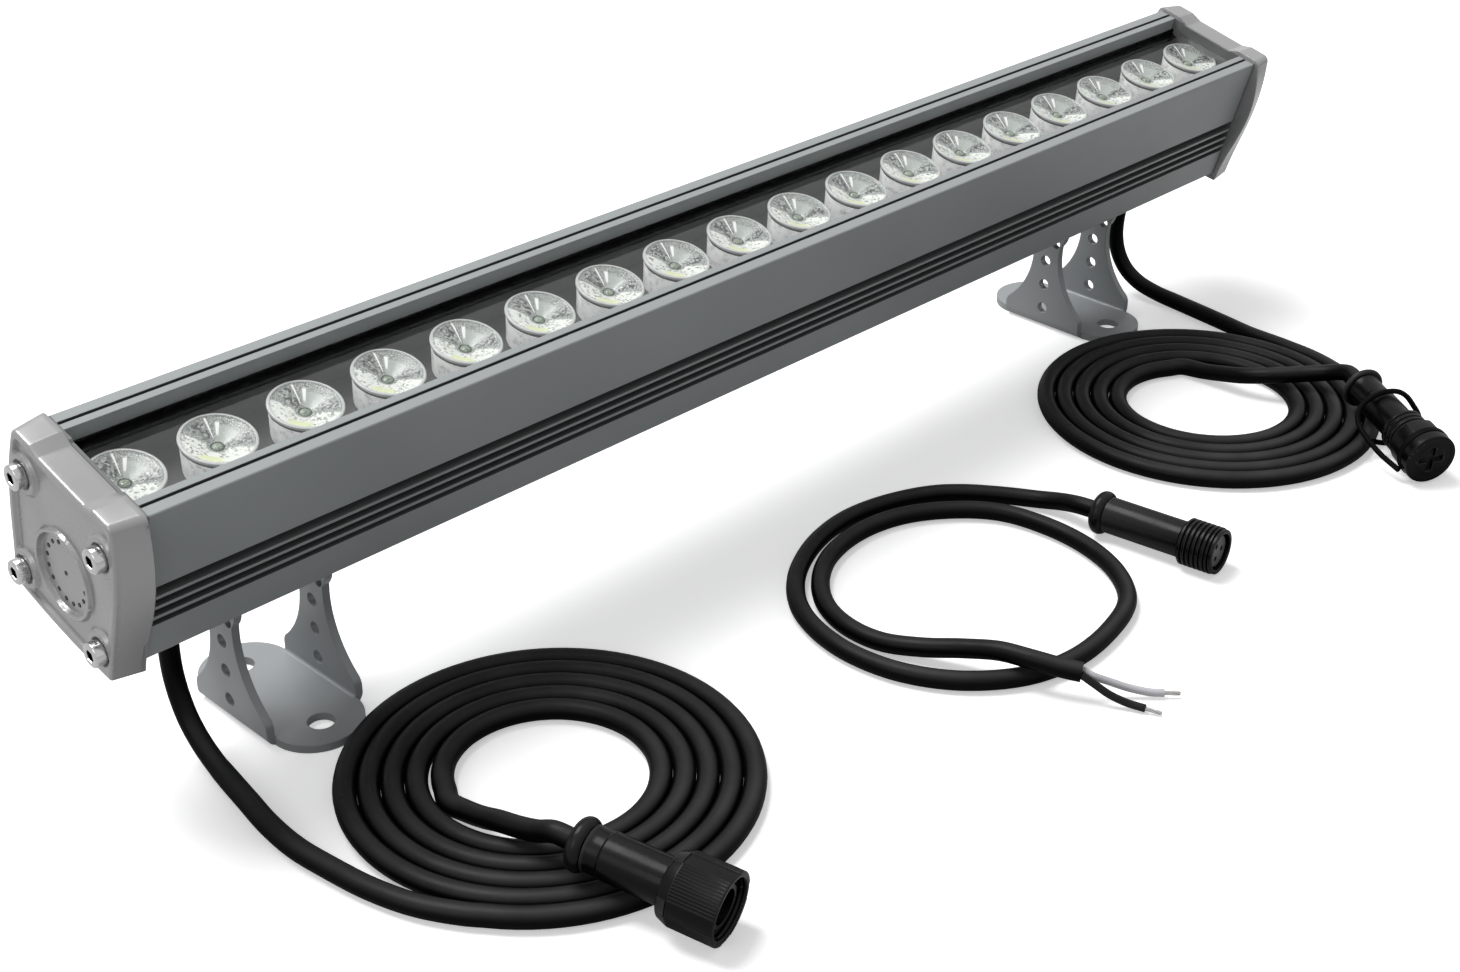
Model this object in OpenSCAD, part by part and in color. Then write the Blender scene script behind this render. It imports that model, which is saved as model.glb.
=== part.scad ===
// Outdoor wall washer light on two folded brackets, with its cords, plugs and a spare lead.
// X runs along the lamp, -Y faces the viewer, Z is up and Z = 0 is the mounting face.

/* [Housing] */
// Overall length over the two end caps
lamp_length = 500; // [460:1:620]
// Width of the extruded housing
housing_w = 45; // [44:0.5:50]
// Height of the extruded housing
housing_h = 48.9; // [47:0.1:56]
// Rounding of the housing's long outer edges
edge_r = 0.6; // [0.2:0.1:1.5]
// Clear width between the two rims over the glass
channel_w = 31.2; // [30:0.1:32]
// Depth of the lens channel under the rims
channel_depth = 18.6; // [17.5:0.1:20]
// Width of the ledge on each side that carries the glass seal
ledge_w = 1.3; // [0.8:0.1:2]
// Thickness of the web between lens channel and driver space
web_t = 3; // [2:0.1:4]
// Thickness of the housing floor
floor_t = 5; // [4:0.1:7]
// Width of the driver space
cavity_w = 33; // [30:0.5:34]
// Distance of the thin groove on each rim from the middle
rim_groove_y = 18.4; // [17.5:0.1:20]
// Width of the thin groove on each rim
rim_groove_w = 1.1; // [0.6:0.1:1.6]
// Depth of the thin groove on each rim
rim_groove_depth = 1; // [0.5:0.1:1.5]
// Height of the upper edge of the first side groove
groove_top = 24.1; // [22:0.1:26]
// Heights of the four side grooves, from the top one down
groove_heights = [3.4, 2.45, 2.35, 2]; // [1:0.05:4]
// Depths of the four side grooves, from the top one down
groove_depths = [3, 3, 3, 1.5]; // [1:0.1:3.5]
// Thickness of the ribs between the side grooves
rib_t = 1; // [0.6:0.1:1.4]
// Height of the rails that hold the driver board, above the floor
rail_rise = 6; // [5:0.1:9]
// Depth of the rails in the cavity walls
rail_depth = 1.2; // [0.8:0.1:1.6]

/* [Light] */
// Distance between neighbouring lenses
lens_pitch = 27.27; // [24:0.01:27.4]
// Outer diameter of a lens rim
lens_d = 20.9; // [18:0.1:23]
// Thickness of the lens rim
lens_rim_t = 1; // [0.6:0.1:1.5]
// Diameter of the conical hollow at the top of a lens
lens_hollow_d = 10.6; // [8:0.1:12]
// Diameter of the flat bottom of the hollow
lens_hollow_foot_d = 4.6; // [3:0.1:6]
// Height of the hollow's bottom above the board
lens_hollow_z = 4.9; // [4.5:0.1:6]
// Diameter of the white lens holder at the board
holder_foot_d = 17.6; // [16:0.1:19]
// Wall of the lens holder
holder_wall = 0.9; // [0.6:0.1:1.2]
// Thickness of the lamp's circuit board
board_t = 1.6; // [1:0.1:2]
// Side of an emitter's square base
chip_w = 3.5; // [2:0.1:5]
// Thickness of an emitter's base
chip_t = 0.7; // [0.4:0.1:1]
// Diameter of an emitter's dome
chip_dome_d = 2.6; // [1.5:0.1:3]
// Thickness of the cover glass
glass_t = 2; // [1.5:0.1:3]
// Depth of the glass below the rims
glass_sink = 4.4; // [3.5:0.1:5]
// Height of the black seal strip under and beside the glass
seal_h = 4.3; // [3.5:0.1:5]
// Thickness of the seal beside the glass edge
seal_lip_t = 0.5; // [0.3:0.1:0.8]
// Width of the seal at the two ends of the glass
seal_end_w = 1.5; // [1:0.1:2.5]

/* [Driver] */
// Length of the driver board
driver_l = 260; // [200:1:400]
// Thickness of the driver board
driver_t = 1.6; // [1:0.1:2]
// Height of the driver's tallest part
driver_part_h = 9; // [6:0.1:10]

/* [End caps] */
// Thickness of an end cap
cap_t = 9.7; // [8.5:0.1:12]
// Overhang of the cap over the housing side at its widest height
cap_belly_out = 5.25; // [4:0.05:6]
// Overhang of the cap over the housing side at its foot
cap_foot_out = 1.4; // [1:0.05:2]
// Overhang of the cap over the housing side at its top
cap_crown_out = 0.7; // [0.4:0.05:1.5]
// Overhang of the cap over the rims
cap_top_out = 1.2; // [0.8:0.1:2]
// Overhang of the cap under the housing
cap_bottom_out = 2.7; // [2:0.1:4]
// Extra fall of the cap's bottom edge at its middle
cap_bow = 1.1; // [0:0.1:2]
// Height at which the cap is widest
cap_belly_z = 29.4; // [26:0.1:32]
// Draft of the cap's sides from its inner plane to its face
cap_belly_draft = 3; // [1:0.1:3.5]
// Draft of the cap's other edges
cap_edge_draft = 1.1; // [0.5:0.1:1.5]
// Rounding at the cap's top corners
cap_corner_r = 2.6; // [1:0.1:4]
// Rounding of the edge round the cap's face
cap_edge_r = 0.8; // [0.3:0.1:1.2]
// Width of the raised border round the face
cap_border = 2.3; // [1.5:0.1:3]
// Depth of the recessed face
cap_recess = 1.1; // [0.6:0.1:1.6]
// Width of the cap's top notch at its floor
notch_w = 21.6; // [18:0.1:24]
// Depth of the top notch
notch_depth = 1.85; // [1:0.05:2.2]
// Slope length of the notch's sides
notch_slope = 2.8; // [1:0.1:4]
// Outer diameter of the raised ring on the face
ring_d = 25.6; // [20:0.1:27]
// Width of the raised ring
ring_w = 1.4; // [1:0.1:2]
// Height of the ring's centre
ring_z = 17; // [15:0.1:19]
// Extra depth of the disc inside the ring
ring_disc_depth = 0.4; // [0.2:0.1:0.8]
// Depth of the pocket behind the cap that takes the board's end
cap_pocket = 4; // [3.5:0.1:5]
// Thickness of the gasket between cap and housing
gasket_t = 1; // [0.6:0.1:1.5]

/* [Cap screws] */
// Thread diameter of the cap screws
screw_d = 4; // [3:0.5:4]
// Head diameter of the cap screws
screw_head_d = 7; // [5.5:0.1:7.4]
// Head height of the cap screws
screw_head_h = 4; // [3:0.1:4.5]
// Width across flats of the screw socket
screw_key = 3; // [2.5:0.1:3.5]
// Depth of the screw socket
screw_key_depth = 2; // [1.5:0.1:2.5]
// Depth of the counterbore under the head
screw_sink = 1; // [0.5:0.1:2]
// Diameter of the counterbore
screw_sink_d = 7.8; // [7.5:0.1:8.5]
// Radius of the raised boss round a screw
screw_boss_r = 6; // [5:0.1:6.5]
// Distance of the screws from the housing sides
screw_in = 4.5; // [4:0.1:5]
// Distance of the upper screws below the rims
screw_top_in = 11.7; // [9:0.1:14]
// Height of the lower screws above the underside
screw_low_z = 4.9; // [4.5:0.1:6]
// Length of thread in the housing
screw_bite = 12; // [8:0.5:20]

/* [Brackets] */
// Lean of the lamp towards the viewer, from upright
tilt = 15; // [0:1:60]
// Distance of each bracket's middle from the lamp's end
bracket_in = 63.5; // [61:0.5:100]
// Height of the tilt axis above the mounting face
pivot_z = 41; // [38:0.5:50]
// Distance from the tilt axis to the housing's underside
pivot_drop = 17.1; // [16:0.1:20]
// Thickness of the bracket sheet
sheet_t = 2.5; // [2:0.1:3]
// Inner radius of the bends
bend_r = 1; // [0.5:0.1:2]
// Outer width of a bracket
bracket_w = 32.8; // [31:0.1:38]
// Width of a bracket ear at its foot
foot_w = 35; // [32:0.5:38]
// Width of an ear at its waist
waist_w = 11.8; // [10:0.1:14]
// Height of the waist
waist_z = 31; // [28:0.5:34]
// Radius of the hollow flanks of an ear
flank_r = 29.7; // [27:0.1:32]
// Radius of the shoulders of an ear
shoulder_r = 4; // [2:0.1:5]
// Radius of an ear's round top
ear_r = 8.5; // [7.5:0.1:10]
// Width of the fixing tabs
tab_w = 28; // [24:0.5:30]
// Reach of the fixing tabs from the bracket's middle
tab_reach = 31.2; // [28:0.1:36]
// Diameter of the wall fixing holes
fixing_d = 8; // [5:0.1:9]
// Distance of the wall fixing holes from the bracket's middle
fixing_y = 20; // [18:0.1:22]
// Diameter of the spare holes in the ears
spare_d = 4.3; // [3.5:0.1:4.6]
// Height of the lowest spare hole
spare_z = 8.1; // [7:0.1:10]
// Distance between the spare holes
spare_pitch = 9.9; // [8:0.1:10.5]
// Sideways place of the two locking holes near the tilt axis
lock_y = 4.3; // [4:0.1:4.6]
// Diameter of the two locking holes
lock_d = 3.6; // [3:0.1:4]
// Fall of the two locking holes below the tilt axis
lock_fall = 4.9; // [4.6:0.1:5.4]
// Gap between the ears of the two brackets
ear_gap = 0.2; // [0.1:0.05:0.4]
// Length of the upper bracket's plate across the housing
plate_l = 40; // [36:0.5:42]
// Radius of the round ears of the upper bracket
upper_ear_r = 6; // [5.5:0.1:8]
// Distance of the plate screws from the middle
plate_screw_y = 12.5; // [10:0.1:14]

/* [Pivot fasteners] */
// Diameter of the pivot bolts and plate screws
bolt_d = 4; // [3:0.5:4]
// Head diameter of the bolts
bolt_head_d = 7; // [5.5:0.1:7.4]
// Head height of the bolts
bolt_head_h = 4; // [3:0.1:4.5]
// Head height of the plate screws
plate_head_h = 2.4; // [2:0.1:3]
// Outer diameter of the washers
washer_d = 8.4; // [7.5:0.1:9]
// Thickness of the washers
washer_t = 0.8; // [0.5:0.1:1]
// Width across flats of the nuts
nut_key = 7; // [5.5:0.1:7]
// Height of the nuts
nut_h = 3.2; // [2.4:0.1:3.5]
// Length of bolt that stands out of the nut
bolt_tip = 1; // [0.5:0.1:2]

/* [Cable glands] */
// Distance of each gland from the lamp's end
gland_in = 31.5; // [28:0.1:34]
// Diameter of the gland's thread in the housing floor
gland_thread_d = 12; // [10:0.5:14]
// Width across flats of the gland body
gland_key = 15; // [13:0.1:16]
// Height of the gland body's hexagon
gland_hex_h = 4; // [3:0.1:5]
// Diameter of the clamping nut
gland_nut_d = 14.4; // [13:0.1:15]
// Height of the clamping nut
gland_nut_h = 8.6; // [7:0.1:9]
// Diameter of the nut's rounded mouth
gland_mouth_d = 9; // [8:0.1:10]

/* [Cords] */
// Diameter of the rubber cords
cord_d = 6; // [4:0.1:6]
// Gap between neighbouring turns of a coil
coil_gap = 0.45; // [0.42:0.01:1]
// Radius of the left coil's outer turn
left_coil_r = 59.3; // [56:0.1:60]
// Turns of the left coil
left_coil_turns = 4.82; // [3:0.01:5]
// Angle at which the left coil begins
left_coil_start = 215; // [200:1:230]
// Radius of the right coil's outer turn
right_coil_r = 60.4; // [57:0.1:61]
// Turns of the right coil
right_coil_turns = 4.83; // [3:0.01:5]
// Angle at which the right coil begins
right_coil_start = 0; // [-10:1:10]
// How far the last part of a coil draws in towards the middle
coil_pull = 0.8; // [0.7:0.1:2]
// Diameter of the two single wires of the spare lead
wire_d = 2.4; // [1.5:0.1:2.6]
// Diameter of the bare strands at the wire ends
strand_d = 1.4; // [0.8:0.1:1.6]
// Length of the bare strands
strand_l = 5; // [3:0.5:10]

/* [Plugs] */
// Diameter of the grip bead at the back of the two long plugs
bead_d = 15; // [14:0.1:15.4]
// Thickness of the grip bead
bead_t = 5; // [4:0.1:6]
// Diameter of the inlet plug's barrel
inlet_barrel_d = 13; // [12:0.1:13.4]
// Length of the inlet plug from its back to the nut's face
inlet_l = 44.8; // [43:0.1:46]
// Outer diameter of the coupling nut
nut_d = 20.3; // [19.6:0.1:20.6]
// Length of the coupling nut
nut_l = 16.8; // [15:0.1:18]
// Length of the cone at the back of the coupling nut
nut_cone_l = 3.5; // [3:0.1:5]
// Thickness of the coupling nut's inner shoulder
nut_shoulder_t = 3; // [2:0.1:4]
// Diameter of the thread that joins two plugs
thread_d = 15.5; // [14.5:0.1:16]
// Outer diameter of the inlet plug's pin shroud
shroud_d = 12.4; // [11:0.1:12.6]
// Inner diameter of the inlet plug's pin shroud
shroud_bore = 9.6; // [9:0.1:10]
// Depth of the shroud's edge behind the nut's face
shroud_sink = 1.6; // [1:0.1:3]
// Diameter of a contact pin
pin_d = 1.4; // [1:0.1:1.6]
// Distance of the contacts from the plug's axis
pin_ring_r = 2.5; // [2.2:0.1:2.8]
// Number of contacts
pin_count = 3; // [2:1:4]
// Diameter of the outlet plug's barrel
outlet_barrel_d = 12.3; // [11.8:0.1:12.6]
// Length of the outlet plug from its back to the cap's face
outlet_l = 49.9; // [48:0.1:51]
// Outer diameter of the screw cap
cap_d = 18.9; // [18.7:0.1:19.2]
// Length of the screw cap
cap_l = 11.7; // [11:0.1:13]
// Thickness of the screw cap's end
cap_end_t = 3; // [2:0.1:3.5]
// Length of thread that shows behind the screw cap
thread_shown = 8.2; // [6:0.1:9]
// Depth of the cross slot in the screw cap's face
cap_slot_depth = 1.2; // [0.8:0.1:2]
// Length of the cross slot in the screw cap's face
cap_slot_l = 9; // [6:0.1:12]
// Width of the cross slot in the screw cap's face
cap_slot_w = 2.2; // [1.5:0.1:3]
// Thickness of the strap that keeps the screw cap
strap_d = 1.9; // [1.5:0.1:2.2]
// Width of the strap's collar round the screw cap
collar_w = 2.2; // [1.5:0.1:3]
// Diameter of the screw cap's skirt behind the collar
cap_skirt_d = 18.1; // [17.6:0.1:18.4]
// Thickness of the screw cap's end disc in front of the collar
cap_disc_t = 3.6; // [2.5:0.1:4]
// Wall of the strap's collar
collar_wall = 0.9; // [0.6:0.1:1.1]
// Diameter of the lead plug's bead
lead_bead_d = 14.5; // [13.5:0.1:14.8]
// Diameter of the lead plug's barrel
lead_barrel_d = 12; // [11:0.1:12.6]
// Length of the lead plug from its back to its face
lead_l = 44.7; // [42:0.1:48]
// Length of the lead plug's thread
lead_thread_l = 12.4; // [11.6:0.1:15]
// Bore behind the face of a threaded plug
socket_bore = 12; // [11.4:0.1:12.4]
// Depth of that bore
socket_depth = 10.5; // [8:0.1:11]
// Diameter of the contact block
insert_d = 10.2; // [9.6:0.1:10.6]
// Depth of the contact block's face behind the rim
insert_sink = 1.2; // [0.6:0.1:2]
// Width of the key slot in the contact block
insert_key_w = 1.6; // [1:0.1:2]

/* [Hidden] */
$fn = 48;

// One overrun for every cut, and the clearances between pieces
overrun = 1;
fit_gap = 0.05;
slip_gap = 0.2;
seat_gap = 0.1;
lens_gap = 0.3;

// Heights inside the housing, from its underside
channel_floor = housing_h - channel_depth;
cavity_top = channel_floor - web_t;
board_top = channel_floor + board_t;
glass_top = housing_h - glass_sink;
glass_bottom = glass_top - glass_t;
seal_top = glass_top - lens_gap;
ledge_z = seal_top - seal_h;
lens_h = glass_bottom - lens_gap - board_top;
rail_z = floor_t + rail_rise;

// Lengths along the lamp
cap_inner_x = lamp_length / 2 - cap_t;
housing_half = cap_inner_x - gasket_t;
pocket_x = cap_inner_x + cap_pocket;
seal_half = pocket_x - lens_gap;
bracket_x = lamp_length / 2 - bracket_in;
gland_x = lamp_length / 2 - gland_in;
row_half = seal_half - seal_end_w;
lens_count = floor((2 * row_half - lens_d) / lens_pitch) + 1;

// Places of the cap screws
screw_y = housing_w / 2 - screw_in;
screw_zs = [screw_low_z, housing_h - screw_top_in];
port_d = screw_d + 2 * fit_gap;

// Bracket ears
flank_y = waist_w / 2 + flank_r;
shoulder_y = foot_w / 2 - shoulder_r;
shoulder_z = waist_z - sqrt(pow(flank_r + shoulder_r, 2) - pow(flank_y - shoulder_y, 2));
upper_w = bracket_w - 2 * sheet_t - 2 * ear_gap;
pivot_bore = bolt_d + 2 * fit_gap;

// Glands and plugs
gland_l = gland_hex_h + gland_nut_h;
coil_pitch = cord_d + coil_gap;
cord_z = cord_d / 2;
side_steps = 14;
corner_steps = 4;
shoulder_steps = 4;
coil_steps = 24;
coil_sides = 6;
cord_sides = 8;
wire_sides = 8;
pull_turns = 0.25;

// Centres of the two coils on the mounting face
left_coil_at = [-158.2, -83.8];
right_coil_at = [155.3, -84.8];

// Middle of each plug's grip bead, and the direction of its axis in plan and in slope
inlet_at = [-180.7, -125.4, 14.8];
inlet_turn = [-73, -6];
outlet_at = [185.2, -130, 14.8];
outlet_turn = [-119.5, -6];
lead_at = [58, -111.5, 7.5];
lead_turn = [-83, 0.7];

// Routes of the free cords, from one end to the other, as they hang and lie
left_drop_route = [
    [-218.5, 0.6, 38], [-218.5, 1.3, 31], [-218.5, 1, 24], [-218.6, -0.9, 17.4],
    [-218.8, -4.4, 11.6], [-219.2, -10, 7.2], [-219.8, -17.5, 4.2], [-220.8, -26, 3.2],
    [-222.4, -37, 3], [-224.2, -49, 3], [-224.8, -62, 3], [-223.4, -75, 3],
    [-221, -89, 3], [-216.8, -102, 3]
];
right_drop_route = [
    [218.5, 0.7, 38], [218.4, 1.6, 31], [218.3, 1.5, 24], [218.6, -0.2, 17],
    [219.3, -4, 10.8], [220, -10, 6.6], [220.8, -18, 4.2], [221.2, -28, 3.1],
    [219.8, -40, 3], [218, -53, 3], [216.2, -65, 3]
];
left_tail_route = [
    [-184.5, -82.3, 3.8], [-184.6, -89.5, 5.8], [-184.6, -96.8, 8.5], [-184.2, -104, 10.4],
    [-183.8, -111, 12.8]
];
right_tail_route = [
    [175.5, -72.2, 3.8], [175.6, -79.6, 5.4], [175.6, -87.4, 7.4], [177.6, -94.8, 9.2],
    [181.6, -101.4, 10.4], [186, -107.4, 11.4], [189, -113.2, 12.8], [190, -118.2, 14.5]
];
lead_route = [
    [57.4, -102, 6.8], [57.8, -95, 5], [56, -87, 3.4], [50, -76, 3], [42, -65.6, 3],
    [33.6, -58.6, 3], [19, -52.4, 3], [3.4, -49.8, 3], [-11, -51.4, 3], [-25, -56.4, 3],
    [-37.4, -64, 3], [-47.6, -74.8, 3], [-53.6, -87.6, 3], [-56, -103.4, 3], [-53, -120.6, 3],
    [-43.6, -136.4, 3], [-28.4, -148, 3], [-11.2, -152.4, 3], [8.4, -150.8, 3],
    [26, -144.6, 3], [37.4, -132, 3], [43.4, -116, 3], [44.4, -99, 3], [40.8, -83, 3],
    [31, -70.8, 3], [16, -61.4, 3], [-1, -58.4, 3], [-19.2, -61.8, 3], [-32.4, -69.8, 3],
    [-41.6, -80.6, 3], [-45.8, -93, 3], [-45.2, -106, 3.2], [-40.6, -118, 4.6],
    [-35, -129.6, 7], [-31.6, -140, 9.4], [-29.4, -149, 10], [-25.8, -158, 9.4]
];
lead_end = [-22.8, -163.2, 8.8];
white_wire_route = [
    [-20.6, -165, 7.6], [-16.6, -168.6, 5.2], [-12.4, -173, 3], [-8.4, -177.6, 1.8], [-5.6, -180.4, 1.6]
];
black_wire_route = [
    [-22.4, -167.4, 6.6], [-20.4, -171.4, 4], [-17.8, -176, 2], [-15.6, -181, 1.4]
];
// The strap in the outlet plug's own place: X is down, Z runs along the plug from its back
strap_route = [
    [5.6, -8.7, 45.9], [5.4, -9.4, 42.4], [4.6, -10.8, 38], [3.4, -11.9, 32.5], [2, -12.5, 27],
    [0.4, -12.3, 22.6], [-2, -10.9, 19.6], [-4.9, -7.8, 18.4], [-6.8, -4, 18.2], [-7.6, 0, 18.3],
    [-6.9, 4.2, 18.4], [-4.6, 7.8, 18.7], [-1.4, 10.3, 20], [1, 11.4, 22.6], [3.2, 10.6, 25.4],
    [5.4, 8, 27], [7.3, 4, 27.5], [7.9, -0.6, 27.5], [7.1, -4.8, 27.5], [6, -8.2, 27.3]
];

// Sweeping a tube along points

function mix(a, b, k) = a + (b - a) * k;
function unit(v) = v / norm(v);
function tangent(p, i, first, last) =
    i == 0 ? first : i == len(p) - 1 ? last : unit(unit(p[i + 1] - p[i]) + unit(p[i] - p[i - 1]));
function squared(side, t) = unit(side - t * (side * t));
function carried(side, ways, i = 0, sides = []) =
    i == len(ways) ? sides
        : let (next = squared(side, ways[i])) carried(next, ways, i + 1, concat(sides, [next]));
function ring(c, t, side, r, n) =
    let (up = cross(t, side))
    [for (k = [0:n - 1]) let (a = 360 * (k + 0.5) / n) c + r * (side * cos(a) + up * sin(a))];

// Closed tube of n sides through the points p, square to the directions first and last
module tube(p, d, n, ref, first, last) {
    ways = [for (i = [0:len(p) - 1]) tangent(p, i, first, last)];
    sides = carried(ref, ways);
    rings = [for (i = [0:len(p) - 1]) ring(p[i], ways[i], sides[i], d / 2, n)];
    points = [for (q = rings) each q];
    last_ring = (len(p) - 1) * n;
    walls = [for (i = [0:len(p) - 2], k = [0:n - 1])
        let (a = i * n + k, b = i * n + (k + 1) % n)
        each [[a, b + n, b], [a, a + n, b + n]]];
    ends = [for (k = [1:n - 2]) each [[0, k, k + 1], [last_ring, last_ring + k + 1, last_ring + k]]];
    polyhedron(points, concat(walls, ends), convexity = 8);
}

// Shapes shared by several pieces

module along_x(length) {
    rotate([90, 0, 90])
        linear_extrude(length)
            children();
}

module on_side(side) {
    if (side < 0)
        mirror([1, 0, 0])
            children();
    else
        children();
}

// The lamp's own place: its underside is the plane that pivot_drop puts above the tilt axis
module in_head() {
    translate([0, 0, pivot_z])
        rotate([tilt, 0, 0])
            translate([0, 0, pivot_drop])
                children();
}

function head_point(p) = [
    p[0],
    p[1] * cos(tilt) - (p[2] + pivot_drop) * sin(tilt),
    pivot_z + p[1] * sin(tilt) + (p[2] + pivot_drop) * cos(tilt)
];

function direction(turn) = [cos(turn[0]) * cos(turn[1]), sin(turn[0]) * cos(turn[1]), sin(turn[1])];

// A plug's own place: its axis is Z, and its back is half a bead behind the bead's middle
module on_plug(at, turn) {
    translate(at - direction(turn) * bead_t / 2)
        rotate([0, 90 - turn[1], turn[0]])
            children();
}

function plug_back(at, turn) = at - direction(turn) * bead_t / 2;

module rounded(w, z0, z1, r) {
    translate([-w / 2 + r, z0])
        square([w - 2 * r, z1 - z0]);
    translate([-w / 2, z0 + r])
        square([w, z1 - z0 - 2 * r]);
    for (y = [-w / 2 + r, w / 2 - r], z = [z0 + r, z1 - r])
        translate([y, z])
            circle(r);
}

module hex_prism(key, h) {
    cylinder(d = key / cos(30), h = h, $fn = 6);
}

// Socket head screw with the head's seat at z = 0 and the shank below
module socket_screw(d, head_d, head_h, length) {
    difference() {
        union() {
            cylinder(d = head_d, h = head_h);
            translate([0, 0, -length])
                cylinder(d = d, h = length);
        }
        translate([0, 0, head_h - screw_key_depth])
            hex_prism(screw_key, screw_key_depth + overrun);
    }
}

// Housing

function groove_z(i) = i == 0 ? groove_top - groove_heights[0]
    : groove_z(i - 1) - rib_t - groove_heights[i];

module cavity_profile() {
    difference() {
        rounded(cavity_w, floor_t, cavity_top, edge_r);
        for (s = [-1, 1])
            translate([s * screw_y, screw_low_z])
                circle(screw_in);
    }
}

module channel_profile() {
    translate([-channel_w / 2, ledge_z])
        square([channel_w, housing_h - ledge_z + overrun]);
    translate([ledge_w - channel_w / 2, channel_floor])
        square([channel_w - 2 * ledge_w, channel_depth]);
}

module housing_profile() {
    difference() {
        rounded(housing_w, 0, housing_h, edge_r);
        channel_profile();
        cavity_profile();
        translate([-cavity_w / 2 - rail_depth, rail_z])
            square([cavity_w + 2 * rail_depth, driver_t + 2 * seat_gap]);
        for (s = [-1, 1]) {
            translate([s * rim_groove_y - rim_groove_w / 2, housing_h - rim_groove_depth])
                square([rim_groove_w, rim_groove_depth + overrun]);
            for (z = screw_zs)
                translate([s * screw_y, z])
                    circle(d = port_d);
            for (i = [0:len(groove_heights) - 1])
                translate([s * (housing_w / 2 + overrun / 2 - groove_depths[i] / 2), groove_z(i)])
                    translate([-(groove_depths[i] + overrun) / 2, 0])
                        square([groove_depths[i] + overrun, groove_heights[i]]);
        }
    }
}

module housing() {
    color([0.30, 0.34, 0.36])
        in_head()
            difference() {
                translate([-housing_half, 0, 0])
                    along_x(2 * housing_half)
                        housing_profile();
                for (s = [-1, 1]) {
                    translate([s * gland_x, 0, -overrun])
                        cylinder(d = gland_thread_d + 2 * fit_gap, h = floor_t + 2 * overrun);
                    for (y = [-plate_screw_y, plate_screw_y])
                        translate([s * bracket_x, y, -overrun])
                            cylinder(d = pivot_bore, h = floor_t + 2 * overrun);
                }
            }
}

// End caps, gaskets and their screws

function cap_side(z, k, inset) =
    let (foot = housing_w / 2 + mix(cap_foot_out, cap_foot_out - cap_edge_draft, k) - inset,
        belly = housing_w / 2 + mix(cap_belly_out, cap_belly_out - cap_belly_draft, k) - inset,
        crown = housing_w / 2 + mix(cap_crown_out, cap_crown_out - cap_edge_draft, k) - inset,
        up = (z - cap_belly_z) / (housing_h + cap_top_out - cap_belly_z),
        down = max(0, min(1, (z + cap_bottom_out) / (cap_belly_z + cap_bottom_out))))
    z > cap_belly_z ? belly - (belly - crown) * up * up
        : foot + (belly - foot) * (1 - cos(180 * down)) / 2;
function cap_half(k, inset) =
    let (top = housing_h + cap_top_out - cap_edge_draft * k / 2 - inset,
        bottom = -cap_bottom_out + cap_edge_draft * k / 2 + inset,
        foot = cap_side(bottom, k, inset),
        shoulder = top - cap_corner_r,
        corner_y = cap_side(shoulder, k, inset) - cap_corner_r)
    concat(
        [for (i = [1:corner_steps]) let (y = foot * i / (corner_steps + 1))
            [y, bottom - cap_bow * (1 - pow(y / foot, 2))]],
        [for (i = [0:side_steps]) let (z = mix(bottom, shoulder, i / side_steps))
            [cap_side(z, k, inset), z]],
        [for (i = [1:corner_steps]) let (a = 90 * i / corner_steps)
            [corner_y + cap_corner_r * cos(a), shoulder + cap_corner_r * sin(a)]]
    );

// Outline of a cap: k is 0 at its inner plane and 1 at its face
module cap_outline(k, inset) {
    half = cap_half(k, inset);
    polygon(concat(half, [for (i = [len(half) - 1:-1:0]) [-half[i][0], half[i][1]]]));
}

module cap_notch() {
    top = housing_h + cap_top_out;
    rise = (notch_depth + overrun) / notch_depth;
    polygon([
        [-notch_w / 2, top - notch_depth], [notch_w / 2, top - notch_depth],
        [notch_w / 2 + notch_slope * rise, top + overrun],
        [-notch_w / 2 - notch_slope * rise, top + overrun]
    ]);
}

module cap_pocket_profile() {
    translate([-channel_w / 2, channel_floor])
        square([channel_w, glass_top + lens_gap - channel_floor]);
}

module cap_recess_profile() {
    difference() {
        cap_outline(1, cap_border);
        for (s = [-1, 1], z = screw_zs)
            translate([s * screw_y, z])
                circle(screw_boss_r);
        translate([0, ring_z])
            difference() {
                circle(d = ring_d);
                circle(d = ring_d - 2 * ring_w);
            }
    }
}

module end_cap(side) {
    land = cap_edge_r;
    on_side(side)
        translate([cap_inner_x, 0, 0])
            difference() {
                hull() {
                    along_x(land)
                        cap_outline(0, 0);
                    translate([cap_t - 2 * cap_edge_r, 0, 0])
                        along_x(cap_edge_r)
                            cap_outline(1, 0);
                    translate([cap_t - cap_edge_r / 2, 0, 0])
                        along_x(cap_edge_r / 2)
                            cap_outline(1, cap_edge_r);
                }
                translate([-overrun, 0, 0])
                    along_x(cap_t + 2 * overrun)
                        cap_notch();
                translate([-overrun, 0, 0])
                    along_x(cap_pocket + overrun)
                        cap_pocket_profile();
                translate([cap_t - cap_recess, 0, 0])
                    along_x(cap_recess + overrun)
                        cap_recess_profile();
                translate([cap_t - cap_recess - ring_disc_depth, 0, ring_z])
                    rotate([0, 90, 0])
                        cylinder(d = ring_d - 2 * ring_w, h = ring_disc_depth + cap_recess);
                for (s = [-1, 1], z = screw_zs)
                    translate([-overrun, s * screw_y, z])
                        rotate([0, 90, 0]) {
                            cylinder(d = screw_d + 2 * slip_gap, h = cap_t + 2 * overrun);
                            translate([0, 0, cap_t + overrun - screw_sink])
                                cylinder(d = screw_sink_d, h = screw_sink + overrun);
                        }
            }
}

module end_cap_left() {
    color([0.62, 0.63, 0.65])
        in_head()
            end_cap(-1);
}

module end_cap_right() {
    color([0.62, 0.63, 0.65])
        in_head()
            end_cap(1);
}

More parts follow.
